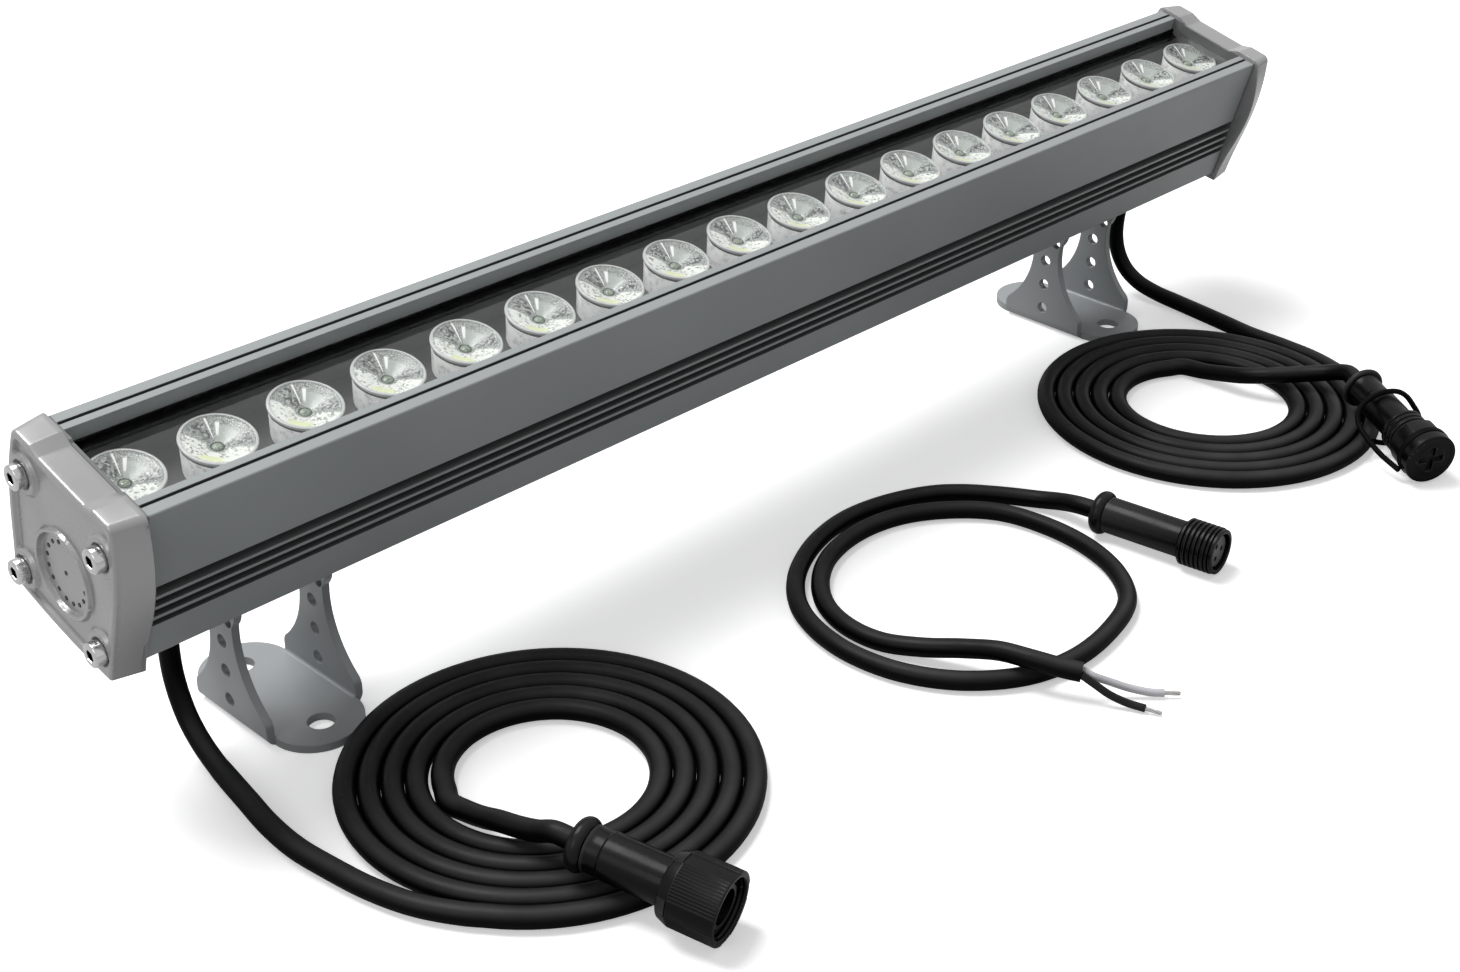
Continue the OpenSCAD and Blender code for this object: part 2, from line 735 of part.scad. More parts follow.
module cap_gasket(side) {
    on_side(side)
        translate([housing_half, 0, 0])
            along_x(gasket_t)
                difference() {
                    rounded(housing_w, 0, housing_h, edge_r);
                    cap_notch();
                    cap_pocket_profile();
                    cavity_profile();
                    for (s = [-1, 1], z = screw_zs)
                        translate([s * screw_y, z])
                            circle(d = screw_d + 2 * slip_gap);
                }
}

module cap_gasket_left() {
    color([0.06, 0.06, 0.06])
        in_head()
            cap_gasket(-1);
}

module cap_gasket_right() {
    color([0.06, 0.06, 0.06])
        in_head()
            cap_gasket(1);
}

module cap_screws(side) {
    seat = cap_inner_x + cap_t - screw_sink;
    on_side(side)
        for (s = [-1, 1], z = screw_zs)
            translate([seat, s * screw_y, z])
                rotate([0, 90, 0])
                    socket_screw(screw_d, screw_head_d, screw_head_h, seat - housing_half + screw_bite);
}

module cap_screws_left() {
    color([0.8, 0.8, 0.8])
        in_head()
            cap_screws(-1);
}

module cap_screws_right() {
    color([0.8, 0.8, 0.8])
        in_head()
            cap_screws(1);
}

// Glass and seal

module glass_cover() {
    half = seal_half - seal_lip_t;
    color([0.8, 0.9, 0.92, 0.35])
        in_head()
            translate([-half, seal_lip_t - channel_w / 2, glass_bottom])
                cube([2 * half, channel_w - 2 * seal_lip_t, glass_t]);
}

module glass_seal() {
    foot_h = glass_bottom - ledge_z;
    color([0.03, 0.03, 0.03])
        in_head()
            difference() {
                translate([-seal_half, -channel_w / 2, ledge_z])
                    cube([2 * seal_half, channel_w, seal_h]);
                translate([-row_half, ledge_w - channel_w / 2, ledge_z - overrun])
                    cube([2 * row_half, channel_w - 2 * ledge_w, seal_h + 2 * overrun]);
                translate([seal_lip_t - seal_half, seal_lip_t - channel_w / 2, ledge_z + foot_h])
                    cube([2 * (seal_half - seal_lip_t), channel_w - 2 * seal_lip_t, seal_h]);
            }
}

// Light engine

module at_lenses() {
    for (i = [0:lens_count - 1])
        translate([(i - (lens_count - 1) / 2) * lens_pitch, 0, board_top])
            children();
}

module led_board() {
    width = channel_w - 2 * ledge_w - 2 * slip_gap;
    color([0.16, 0.17, 0.18])
        in_head()
            translate([-seal_half, -width / 2, channel_floor])
                cube([2 * seal_half, width, board_t]);
}

module led_chips() {
    color([0.85, 0.85, 0.45])
        in_head()
            at_lenses() {
                translate([-chip_w / 2, -chip_w / 2, 0])
                    cube([chip_w, chip_w, chip_t]);
                translate([0, 0, chip_t])
                    difference() {
                        sphere(d = chip_dome_d);
                        translate([0, 0, -chip_dome_d])
                            cylinder(d = 2 * chip_dome_d, h = chip_dome_d);
                    }
            }
}

// Outer radius of a lens body at the share f of its height
function lens_flare(f) = mix(chip_w / 2 + 1.2 * chip_t, lens_d / 2 - lens_rim_t - holder_wall / 2, pow(f, 0.6));

module lens_holders() {
    h = lens_h - lens_rim_t - seat_gap;
    foot_r = holder_foot_d / 2;
    top_r = lens_d / 2 - holder_wall / 2;
    color([0.93, 0.93, 0.92])
        in_head()
            at_lenses()
                rotate_extrude()
                    polygon([
                        [foot_r - holder_wall, 0], [foot_r, 0], [top_r, h], [top_r - holder_wall, h]
                    ]);
}

module lenses() {
    foot_z = 2 * chip_t;
    body_top = lens_h - lens_rim_t;
    dome_r = chip_dome_d / 2 + lens_gap;
    dome_z = chip_t + chip_dome_d / 2 + lens_gap;
    steps = 6;
    color([0.92, 0.95, 0.96, 0.5])
        in_head()
            at_lenses()
                rotate_extrude()
                    polygon(concat(
                        [[0, dome_z], [dome_r, dome_z], [dome_r, foot_z]],
                        [for (i = [0:steps]) [lens_flare(i / steps), mix(foot_z, body_top, i / steps)]],
                        [[lens_d / 2, body_top], [lens_d / 2, lens_h], [lens_hollow_d / 2, lens_h],
                            [lens_hollow_foot_d / 2, lens_hollow_z], [0, lens_hollow_z]]
                    ));
}

// Driver inside the lower space

module driver_board() {
    width = cavity_w + 2 * rail_depth - 2 * seat_gap;
    color([0.10, 0.35, 0.18])
        in_head()
            translate([-driver_l / 2, -width / 2, rail_z + seat_gap])
                cube([driver_l, width, driver_t]);
}

module driver_parts() {
    top = rail_z + seat_gap + driver_t;
    coil_w = cavity_w / 2;
    color([0.15, 0.15, 0.17])
        in_head()
            translate([0, 0, top]) {
                translate([-coil_w / 2, -coil_w / 2, 0])
                    cube([coil_w, coil_w, driver_part_h]);
                for (s = [-1, 1]) {
                    translate([s * driver_l / 4, 0, 0])
                        cylinder(d = cavity_w / 3, h = driver_part_h);
                    translate([s * driver_l * 3 / 8, -cavity_w / 4, 0])
                        cube([cavity_w / 3, cavity_w / 2, driver_part_h / 2]);
                }
            }
}

// Cable glands, in the housing floor

module gland_body(side) {
    stub_d = gland_mouth_d + 2 * collar_wall;
    in_head()
        translate([side * gland_x, 0, 0]) {
            cylinder(d = gland_thread_d, h = floor_t);
            translate([0, 0, -gland_hex_h])
                hex_prism(gland_key, gland_hex_h);
            translate([0, 0, -gland_hex_h - gland_nut_h / 2])
                cylinder(d = stub_d, h = gland_nut_h / 2);
        }
}

module gland_nut(side) {
    stub_d = gland_mouth_d + 2 * collar_wall;
    r = gland_nut_d / 2;
    mouth = gland_mouth_d / 2;
    in_head()
        translate([side * gland_x, 0, -gland_hex_h - gland_nut_h])
            difference() {
                rotate_extrude()
                    polygon([
                        [0, 0], [mouth, 0], [mix(mouth, r, 0.6), gland_nut_h / 8],
                        [r, gland_nut_h / 3], [r, gland_nut_h], [0, gland_nut_h]
                    ]);
                translate([0, 0, gland_nut_h / 2 - seat_gap])
                    cylinder(d = stub_d + 2 * fit_gap, h = gland_nut_h);
            }
}

module gland_body_left() {
    color([0.05, 0.05, 0.05])
        gland_body(-1);
}

module gland_body_right() {
    color([0.05, 0.05, 0.05])
        gland_body(1);
}

module gland_nut_left() {
    color([0.07, 0.07, 0.07])
        gland_nut(-1);
}

module gland_nut_right() {
    color([0.07, 0.07, 0.07])
        gland_nut(1);
}

// Folded brackets

// U of bent sheet, open at the top, standing on z = 0
module bent_profile(w, h) {
    outer_r = bend_r + sheet_t;
    difference() {
        rounded(w, 0, h + outer_r, outer_r);
        rounded(w - 2 * sheet_t, sheet_t, h + 2 * outer_r, bend_r);
        translate([-w / 2 - overrun, h])
            square([w + 2 * overrun, 2 * outer_r + overrun]);
    }
}

// Right edge of an ear: foot, rounded shoulder and hollow flank, up into the round top
function ear_edge() =
    let (meet = atan2(waist_z - shoulder_z, flank_y - shoulder_y),
        crest = asin((pivot_z - ear_r / 2 - waist_z) / flank_r))
    concat(
        [[foot_w / 2, 0]],
        [for (i = [0:shoulder_steps]) let (a = meet * i / shoulder_steps)
            [shoulder_y + shoulder_r * cos(a), shoulder_z + shoulder_r * sin(a)]],
        [for (i = [1:side_steps]) let (a = mix(180 + meet, 180 - crest, i / side_steps))
            [flank_y + flank_r * cos(a), waist_z + flank_r * sin(a)]]
    );

module ear_outline() {
    edge = ear_edge();
    polygon(concat(edge, [for (i = [len(edge) - 1:-1:0]) [-edge[i][0], edge[i][1]]]));
    translate([0, pivot_z])
        circle(ear_r);
}

// One end of the base: a tab with a round end, from the ears' foot outwards
module tab_outline() {
    straight = tab_reach - tab_w / 2;
    intersection() {
        translate([0, straight])
            circle(d = tab_w);
        translate([-tab_w, foot_w / 2])
            square([2 * tab_w, tab_w]);
    }
}

module bracket(side) {
    translate([side * bracket_x, 0, 0])
        difference() {
            union() {
                intersection() {
                    translate([0, foot_w / 2, 0])
                        rotate([90, 0, 0])
                            linear_extrude(foot_w)
                                bent_profile(bracket_w, pivot_z + ear_r);
                    translate([-bracket_w / 2, 0, 0])
                        along_x(bracket_w)
                            ear_outline();
                }
                for (a = [0, 180])
                    rotate([0, 0, a])
                        linear_extrude(sheet_t)
                            tab_outline();
            }
            for (s = [-1, 1]) {
                translate([0, s * fixing_y, -overrun])
                    cylinder(d = fixing_d, h = sheet_t + 2 * overrun);
                translate([-bracket_w / 2 - overrun, s * lock_y, pivot_z - lock_fall])
                    rotate([0, 90, 0])
                        cylinder(d = lock_d, h = bracket_w + 2 * overrun);
            }
            for (i = [0:2])
                translate([-bracket_w / 2 - overrun, 0, spare_z + i * spare_pitch])
                    rotate([0, 90, 0])
                        cylinder(d = spare_d, h = bracket_w + 2 * overrun);
            translate([-bracket_w / 2 - overrun, 0, pivot_z])
                rotate([0, 90, 0])
                    cylinder(d = pivot_bore, h = bracket_w + 2 * overrun);
        }
}

module bracket_left() {
    color([0.42, 0.44, 0.46])
        bracket(-1);
}

module bracket_right() {
    color([0.42, 0.44, 0.46])
        bracket(1);
}

module upper_ear_outline() {
    translate([0, -pivot_drop])
        circle(upper_ear_r);
    translate([-upper_ear_r, -pivot_drop])
        square([2 * upper_ear_r, pivot_drop]);
    translate([-plate_l / 2, -sheet_t])
        square([plate_l, sheet_t]);
}

module upper_bracket(side) {
    in_head()
        translate([side * bracket_x, 0, 0])
            difference() {
                intersection() {
                    translate([0, -plate_l / 2, 0])
                        rotate([-90, 0, 0])
                            linear_extrude(plate_l)
                                bent_profile(upper_w, pivot_drop + upper_ear_r);
                    translate([-upper_w / 2, 0, 0])
                        along_x(upper_w)
                            upper_ear_outline();
                }
                for (y = [-plate_screw_y, plate_screw_y])
                    translate([0, y, -sheet_t - overrun])
                        cylinder(d = bolt_d + 2 * slip_gap, h = sheet_t + 2 * overrun);
                translate([-upper_w / 2 - overrun, 0, -pivot_drop])
                    rotate([0, 90, 0])
                        cylinder(d = pivot_bore, h = upper_w + 2 * overrun);
            }
}

module upper_bracket_left() {
    color([0.25, 0.27, 0.29])
        upper_bracket(-1);
}

module upper_bracket_right() {
    color([0.25, 0.27, 0.29])
        upper_bracket(1);
}

module upper_bracket_screws() {
    color([0.75, 0.75, 0.75])
        in_head()
            for (x = [-bracket_x, bracket_x], y = [-plate_screw_y, plate_screw_y])
                translate([x, y, -sheet_t])
                    rotate([180, 0, 0])
                        socket_screw(bolt_d, bolt_head_d, plate_head_h, sheet_t + floor_t);
}

// Pivot fasteners: one bolt, washer and nut in each ear

module at_ears() {
    for (x = [-bracket_x, bracket_x], s = [-1, 1])
        translate([x, 0, pivot_z])
            rotate([0, s * 90, 0])
                children();
}

module pivot_bolts() {
    seat = bracket_w / 2 + washer_t;
    inner = upper_w / 2 - sheet_t - seat_gap - nut_h - bolt_tip;
    color([0.75, 0.75, 0.75])
        at_ears()
            translate([0, 0, seat])
                socket_screw(bolt_d, bolt_head_d, bolt_head_h, seat - inner);
}

module pivot_washers() {
    color([0.7, 0.7, 0.7])
        at_ears()
            translate([0, 0, bracket_w / 2])
                difference() {
                    cylinder(d = washer_d, h = washer_t);
                    translate([0, 0, -overrun])
                        cylinder(d = pivot_bore, h = washer_t + 2 * overrun);
                }
}

module pivot_nuts() {
    color([0.7, 0.7, 0.7])
        at_ears()
            translate([0, 0, upper_w / 2 - sheet_t - seat_gap - nut_h])
                difference() {
                    hex_prism(nut_key, nut_h);
                    translate([0, 0, -overrun])
                        cylinder(d = pivot_bore, h = nut_h + 2 * overrun);
                }
}

// Coils: a flat spiral that draws in at its inner end, with a straight end of one cord diameter

function coil_r(r, turns, t) =
    r - coil_pitch * t - coil_pull * pow(max(0, (t - turns + pull_turns) / pull_turns), 2);
function coil_at(at, r, turns, start, way, t) =
    let (a = start + way * 360 * t, q = coil_r(r, turns, t))
    [at[0] + q * cos(a), at[1] + q * sin(a), cord_z];
function coil_way(at, r, turns, start, way, t) =
    let (small = 0.001)
    unit(coil_at(at, r, turns, start, way, t + small) - coil_at(at, r, turns, start, way, t - small));
function coil_line(at, r, turns, start, way) =
    let (count = floor(turns * coil_steps), first = coil_at(at, r, turns, start, way, 0),
        last = coil_at(at, r, turns, start, way, turns))
    concat(
        [first - coil_way(at, r, turns, start, way, 0) * cord_d],
        [for (i = [0:count]) coil_at(at, r, turns, start, way, turns * i / count)],
        [last + coil_way(at, r, turns, start, way, turns) * cord_d]
    );
function least_gap(p, d) = min([for (i = [0:len(p) - 1], j = [i + round(coil_steps / 2):len(p) - 1])
    if (j < len(p)) norm(p[i] - p[j])]) - d;

left_coil = coil_line(left_coil_at, left_coil_r, left_coil_turns, left_coil_start, 1);
right_coil = coil_line(right_coil_at, right_coil_r, right_coil_turns, right_coil_start, -1);
echo("least gap in the left coil", least_gap(left_coil, cord_d));
echo("least gap in the right coil", least_gap(right_coil, cord_d));

function first_way(p) = unit(p[1] - p[0]);
function last_way(p) = unit(p[len(p) - 1] - p[len(p) - 2]);

module coil(line) {
    color([0.05, 0.05, 0.05])
        tube(line, cord_d, coil_sides, [0, 0, 1], first_way(line), last_way(line));
}

module cord_coil_left() {
    coil(left_coil);
}

module cord_coil_right() {
    coil(right_coil);
}

// Drops: from a gland's mouth down to the mounting face and on to the coil

module cord_drop(side, route, line) {
    exit = head_point([side * gland_x, 0, -gland_l]);
    down = [0, sin(tilt), -cos(tilt)];
    color([0.05, 0.05, 0.05])
        tube(concat([exit], route, [line[0]]), cord_d, cord_sides, [1, 0, 0], down, first_way(line));
}

module cord_drop_left() {
    cord_drop(-1, left_drop_route, left_coil);
}

module cord_drop_right() {
    cord_drop(1, right_drop_route, right_coil);
}

// Tails: from a coil's inner end over its turns to the plug

module cord_tail(line, route, at, turn) {
    back = plug_back(at, turn);
    way = direction(turn);
    color([0.05, 0.05, 0.05])
        tube(concat([line[len(line) - 1]], route, [back - way * cord_d, back]), cord_d, cord_sides,
            [0, 0, 1], last_way(line), way);
}

module cord_tail_left() {
    cord_tail(left_coil, left_tail_route, inlet_at, inlet_turn);
}

module cord_tail_right() {
    cord_tail(right_coil, right_tail_route, outlet_at, outlet_turn);
}

// Inlet plug: barrel, pin shroud and loose coupling nut

module bead(d) {
    translate([0, 0, bead_t / 2])
        rotate_extrude()
            translate([d / 2 - bead_t / 2, 0])
                circle(d = bead_t);
}

module inlet_plug_body() {
    nut_back = inlet_l - nut_l;
    flange_z = nut_back + nut_shoulder_t + seat_gap;
    shroud_end = inlet_l - shroud_sink;
    flange_t = 2;
    shroud_floor = flange_z + 2 * flange_t;
    color([0.06, 0.06, 0.06])
        on_plug(inlet_at, inlet_turn)
            difference() {
                union() {
                    bead(bead_d);
                    cylinder(d = inlet_barrel_d, h = flange_z);
                    translate([0, 0, flange_z])
                        cylinder(d = thread_d + fit_gap, h = flange_t);
                    translate([0, 0, flange_z])
                        cylinder(d = shroud_d, h = shroud_end - flange_z);
                }
                translate([0, 0, shroud_floor])
                    cylinder(d = shroud_bore, h = inlet_l);
            }
}

module inlet_plug_seal() {
    seal_z = inlet_l - nut_l + nut_shoulder_t + seat_gap + 2;
    color([0.1, 0.1, 0.1])
        on_plug(inlet_at, inlet_turn)
            translate([0, 0, seal_z])
                difference() {
                    cylinder(d = thread_d - 2 * fit_gap, h = 1.5);
                    translate([0, 0, -overrun])
                        cylinder(d = shroud_d + 2 * fit_gap, h = 1.5 + 2 * overrun);
                }
}

module at_pins() {
    for (i = [0:pin_count - 1])
        rotate([0, 0, 90 + 360 * i / pin_count])
            translate([pin_ring_r, 0, 0])
                children();
}

module inlet_plug_pins() {
    floor_z = inlet_l - nut_l + nut_shoulder_t + seat_gap + 4;
    length = inlet_l - shroud_sink - floor_z - 2 * shroud_sink;
    color([0.8, 0.65, 0.3])
        on_plug(inlet_at, inlet_turn)
            translate([0, 0, floor_z])
                at_pins()
                    cylinder(d = pin_d, h = length);
}

module coupling_nut() {
    nut_back = inlet_l - nut_l;
    bore = thread_d + 4 * slip_gap;
    color([0.06, 0.06, 0.06])
        on_plug(inlet_at, inlet_turn)
            translate([0, 0, nut_back])
                difference() {
                    union() {
                        cylinder(d1 = inlet_barrel_d + 2 * sheet_t, d2 = nut_d, h = nut_cone_l);
                        translate([0, 0, nut_cone_l])
                            cylinder(d = nut_d, h = nut_l - nut_cone_l);
                    }
                    translate([0, 0, -overrun])
                        cylinder(d = inlet_barrel_d + 2 * fit_gap, h = nut_l + 2 * overrun);
                    translate([0, 0, nut_shoulder_t])
                        cylinder(d = bore, h = nut_l);
                }
}

// Outlet plug: threaded socket under a screw cap that a strap keeps

module threaded_socket(barrel_d, bead_size, thread_z, length) {
    difference() {
        union() {
            bead(bead_size);
            cylinder(d = barrel_d, h = length);
            translate([0, 0, thread_z])
                cylinder(d = thread_d, h = length - thread_z);
        }
        translate([0, 0, length - socket_depth])
            cylinder(d = socket_bore, h = socket_depth + overrun);
    }
}

module contact_block(length) {
    height = socket_depth - insert_sink;
    translate([0, 0, length - socket_depth])
        difference() {
            cylinder(d = insert_d, h = height);
            translate([0, 0, overrun])
                at_pins()
                    cylinder(d = pin_d + 2 * slip_gap, h = height);
            translate([-insert_key_w / 2, -insert_d / 2 - overrun, overrun])
                cube([insert_key_w, overrun + insert_key_w / 2, height]);
        }
}

outlet_socket_l = outlet_l - cap_end_t - seat_gap;

module outlet_plug_body() {
    color([0.06, 0.06, 0.06])
        on_plug(outlet_at, outlet_turn)
            threaded_socket(outlet_barrel_d, bead_d, outlet_l - cap_l - thread_shown, outlet_socket_l);
}

module outlet_plug_insert() {
    color([0.2, 0.2, 0.2])
        on_plug(outlet_at, outlet_turn)
            contact_block(outlet_socket_l);
}

module screw_cap() {
    color([0.06, 0.06, 0.06])
        on_plug(outlet_at, outlet_turn)
            translate([0, 0, outlet_l - cap_l])
                difference() {
                    union() {
                        cylinder(d = cap_skirt_d, h = cap_l - cap_disc_t - collar_w - 2 * seat_gap);
                        cylinder(d = cap_d - 2 * collar_wall, h = cap_l);
                        translate([0, 0, cap_l - cap_disc_t])
                            cylinder(d = cap_d, h = cap_disc_t);
                    }
                    translate([0, 0, -overrun])
                        cylinder(d = thread_d + 2 * fit_gap, h = cap_l - cap_end_t + overrun);
                    for (a = [0, 90])
                        translate([0, 0, cap_l - cap_slot_depth])
                            rotate([0, 0, a])
                                translate([-cap_slot_l / 2, -cap_slot_w / 2, 0])
                                    cube([cap_slot_l, cap_slot_w, cap_slot_depth + overrun]);
                }
}

// Strap: a collar round the cap and one strand that bows out to a loose turn round the barrel
module cap_tether() {
    collar_z = outlet_l - cap_disc_t - collar_w - seat_gap;
    color([0.05, 0.05, 0.05])
        on_plug(outlet_at, outlet_turn) {
            tube(strap_route, strap_d, cord_sides, [1, 0, 0], first_way(strap_route), last_way(strap_route));
            translate([0, 0, collar_z])
                difference() {
                    cylinder(d = cap_d, h = collar_w);
                    translate([0, 0, -overrun])
                        cylinder(d = cap_d - 2 * collar_wall + 2 * fit_gap, h = collar_w + 2 * overrun);
                }
        }
}

// Spare lead: cord with a threaded plug at one end and two bare wires at the other

module lead_cord() {
    back = plug_back(lead_at, lead_turn);
    way = direction(lead_turn);
    points = concat([back], lead_route, [lead_end]);
    color([0.05, 0.05, 0.05])
        tube(points, cord_d, cord_sides, [0, 0, 1], -way, last_way(points));
}

module lead_plug_body() {
    color([0.06, 0.06, 0.06])
        on_plug(lead_at, lead_turn)
            threaded_socket(lead_barrel_d, lead_bead_d, lead_l - lead_thread_l, lead_l);
}

module lead_plug_insert() {
    color([0.25, 0.25, 0.25])
        on_plug(lead_at, lead_turn)
            contact_block(lead_l);
}

lead_way = unit(lead_end - lead_route[len(lead_route) - 1]);
lead_side = unit(cross(lead_way, [0, 0, 1]));

function wire_line(route, side) = concat([lead_end + lead_side * side * wire_d / 2 * 1.1], route);

module wire(route, side) {
    line = wire_line(route, side);
    tube(line, wire_d, wire_sides, [0, 0, 1], lead_way, last_way(line));
}

module lead_wire_white() {
    color([0.85, 0.85, 0.85])
        wire(white_wire_route, -1);
}

module lead_wire_black() {
    color([0.05, 0.05, 0.05])
        wire(black_wire_route, 1);
}

module lead_strands() {
    color([0.75, 0.72, 0.68])
        for (route = [white_wire_route, black_wire_route])
            let (end = route[len(route) - 1], way = last_way(route))
            tube([end, end + way * strand_l], strand_d, wire_sides, [0, 0, 1], way, way);
}

housing();
end_cap_left();
end_cap_right();
cap_gasket_left();
cap_gasket_right();
cap_screws_left();
cap_screws_right();
glass_cover();
glass_seal();
led_board();
led_chips();
lens_holders();
lenses();
driver_board();
driver_parts();
gland_body_left();
gland_body_right();
gland_nut_left();
gland_nut_right();
upper_bracket_left();
upper_bracket_right();
upper_bracket_screws();
bracket_left();
bracket_right();
pivot_bolts();
pivot_washers();
pivot_nuts();
cord_drop_left();
cord_coil_left();
cord_tail_left();
cord_drop_right();
cord_coil_right();
cord_tail_right();
inlet_plug_body();
inlet_plug_seal();
inlet_plug_pins();
coupling_nut();
outlet_plug_body();
outlet_plug_insert();
screw_cap();
cap_tether();
lead_cord();
lead_plug_body();
lead_plug_insert();
lead_wire_white();
lead_wire_black();
lead_strands();
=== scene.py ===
# Looks of an outdoor wall washer light on its two brackets, with cords, plugs and a spare lead.
import math

import bpy
import numpy as np
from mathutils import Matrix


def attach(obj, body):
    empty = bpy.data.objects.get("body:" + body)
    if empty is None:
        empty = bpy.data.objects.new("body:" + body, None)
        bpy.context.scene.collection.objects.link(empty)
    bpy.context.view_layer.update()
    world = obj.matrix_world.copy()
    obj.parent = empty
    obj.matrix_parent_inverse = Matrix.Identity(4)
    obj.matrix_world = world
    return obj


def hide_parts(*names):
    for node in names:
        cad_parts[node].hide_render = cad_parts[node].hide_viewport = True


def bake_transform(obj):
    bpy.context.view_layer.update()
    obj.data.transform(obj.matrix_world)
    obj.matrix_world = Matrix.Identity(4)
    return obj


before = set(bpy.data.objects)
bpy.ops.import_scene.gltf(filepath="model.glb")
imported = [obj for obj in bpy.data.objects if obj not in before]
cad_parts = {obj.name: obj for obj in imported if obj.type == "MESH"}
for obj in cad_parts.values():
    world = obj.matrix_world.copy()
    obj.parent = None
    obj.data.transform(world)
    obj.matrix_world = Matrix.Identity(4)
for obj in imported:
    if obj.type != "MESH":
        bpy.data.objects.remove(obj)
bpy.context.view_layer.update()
MM = 0.001


def new_object(name, data):
    """Object in the scene's collection."""
    made = bpy.data.objects.new(name, data)
    bpy.context.scene.collection.objects.link(made)
    return made


# Camera, at the photograph's place and angle

camera_data = bpy.data.cameras.new("camera")
camera_data.lens = 52.86
camera_data.sensor_width = 36.0
camera = new_object("camera", camera_data)
camera.location = (-0.4563, -0.4518, 0.3586)
camera.rotation_euler = [math.radians(a) for a in (60.565, 0.0, -45.13)]
bpy.context.scene.camera = camera


# Places of the parts, in millimetres, as the solids have them

TILT = math.radians(15.0)
PIVOT_X, PIVOT_Z, PIVOT_DROP = 186.5, 41.0, 17.1
LENS_COUNT, LENS_PITCH, LENS_FOOT_Z = 18, 27.27, 31.9
HOUSING_HALF_W = 22.5
DIAL_Z = 17.0
CAP_SCREWS = [(y, z) for y in (-18.0, 18.0) for z in (4.9, 37.2)]
CAP_SCREW_SEAT = 249.0
GLAND_X, GLAND_MOUTH_Z = 218.5, -12.6
CORD_D, COIL_PITCH = 6.0, 6.45
BEAD_T = 5.0
# Each plug has the middle of its bead, its heading and slope in degrees, and its length
INLET_AT, INLET_TURN, INLET_L = (-180.7, -125.4, 14.8), (-73.0, -6.0), 44.8
OUTLET_AT, OUTLET_TURN, OUTLET_L = (185.2, -130.0, 14.8), (-119.5, -6.0), 49.9
LEAD_AT, LEAD_TURN, LEAD_L = (58.0, -111.5, 7.5), (-83.0, 0.7), 44.7


def head_place(points):
    """Points of the lamp's own frame (x, y, height over its underside), leaned by the rest tilt."""
    p = np.asarray(points, float)
    y, z = p[..., 1], p[..., 2] + PIVOT_DROP
    return np.stack([p[..., 0], y * math.cos(TILT) - z * math.sin(TILT),
                     PIVOT_Z + y * math.sin(TILT) + z * math.cos(TILT)], -1)


def plug_axis(turn):
    """Unit vector of a plug's axis from its heading in plan and its slope, in degrees."""
    h, s = math.radians(turn[0]), math.radians(turn[1])
    return np.array([math.cos(h) * math.cos(s), math.sin(h) * math.cos(s), math.sin(s)])


def facing(origin, axis, side, place=None):
    """Placing function whose z runs along axis from origin, and whose x runs along side."""
    axis, side = np.array(axis, float), np.array(side, float)
    up = np.cross(axis, side)

    def put(points):
        p = np.asarray(points, float)
        q = np.array(origin, float) + p[..., 0:1] * side + p[..., 1:2] * up + p[..., 2:3] * axis
        return q if place is None else place(q)
    return put


def plug_back(at, turn):
    """Back end of a plug's bead, where its cord enters."""
    return np.array(at) - plug_axis(turn) * BEAD_T / 2


def plug_place(at, turn):
    """Placing function for plug points: x down, y left of the heading, z along the axis."""
    axis = plug_axis(turn)
    left = np.array([-math.sin(math.radians(turn[0])), math.cos(math.radians(turn[0])), 0.0])
    return facing(plug_back(at, turn), axis, np.cross(left, axis))


# Surfaces from arrays

def smoothstep(a, b, x):
    """Rises from 0 at a to 1 at b along the cubic 3t^2 - 2t^3."""
    t = np.clip((x - a) / (b - a), 0.0, 1.0)
    return t * t * (3.0 - 2.0 * t)


def grid_faces(rows, cols, start=0, close_rows=False):
    """Quads of a rows by cols grid whose columns always close, and whose rows close if asked."""
    i = np.arange(rows if close_rows else rows - 1)[:, None]
    j = np.arange(cols)[None, :]
    k, n = (i + 1) % rows, (j + 1) % cols
    quads = np.stack([i * cols + j, i * cols + n, k * cols + n, k * cols + j], -1)
    return quads.reshape(-1, 4) + start


def sleeve(points, close_rows=False, pole_first=False, pole_last=False):
    """Vertices and faces of a grid (rows, columns, 3); an end with a pole is fanned to its middle."""
    rows, cols = points.shape[:2]
    verts = [points.reshape(-1, 3)]
    faces = grid_faces(rows, cols, 0, close_rows).tolist()
    count = rows * cols
    ring = np.arange(cols)
    if pole_first:
        verts.append(points[0].mean(0, keepdims=True))
        faces += np.stack([np.full(cols, count), (ring + 1) % cols, ring], -1).tolist()
        count += 1
    if pole_last:
        last = (rows - 1) * cols
        verts.append(points[-1].mean(0, keepdims=True))
        faces += np.stack([np.full(cols, count), last + ring, last + (ring + 1) % cols], -1).tolist()
    return np.concatenate(verts), faces


def joined(parts):
    """One vertex array and one face list out of several."""
    verts, faces, start = [], [], 0
    for v, f in parts:
        verts.append(v)
        faces += [[a + start for a in face] for face in f]
        start += len(v)
    return np.concatenate(verts), faces


def piece(name, parts, finish, body, replaces=(), smooth=40.0):
    """Mesh object at the origin from parts in millimetres, with its finish, riding on its body."""
    verts, faces = joined(parts)
    mesh = bpy.data.meshes.new(name)
    mesh.from_pydata((verts * MM).tolist(), [], faces)
    mesh.validate()
    mesh.polygons.foreach_set("use_smooth", np.ones(len(mesh.polygons), bool))
    mesh.set_sharp_from_angle(angle=math.radians(smooth))
    obj = new_object(name, mesh)
    mesh.materials.append(finish)
    if body:
        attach(obj, body)
    if replaces:
        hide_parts(*replaces)
    return obj


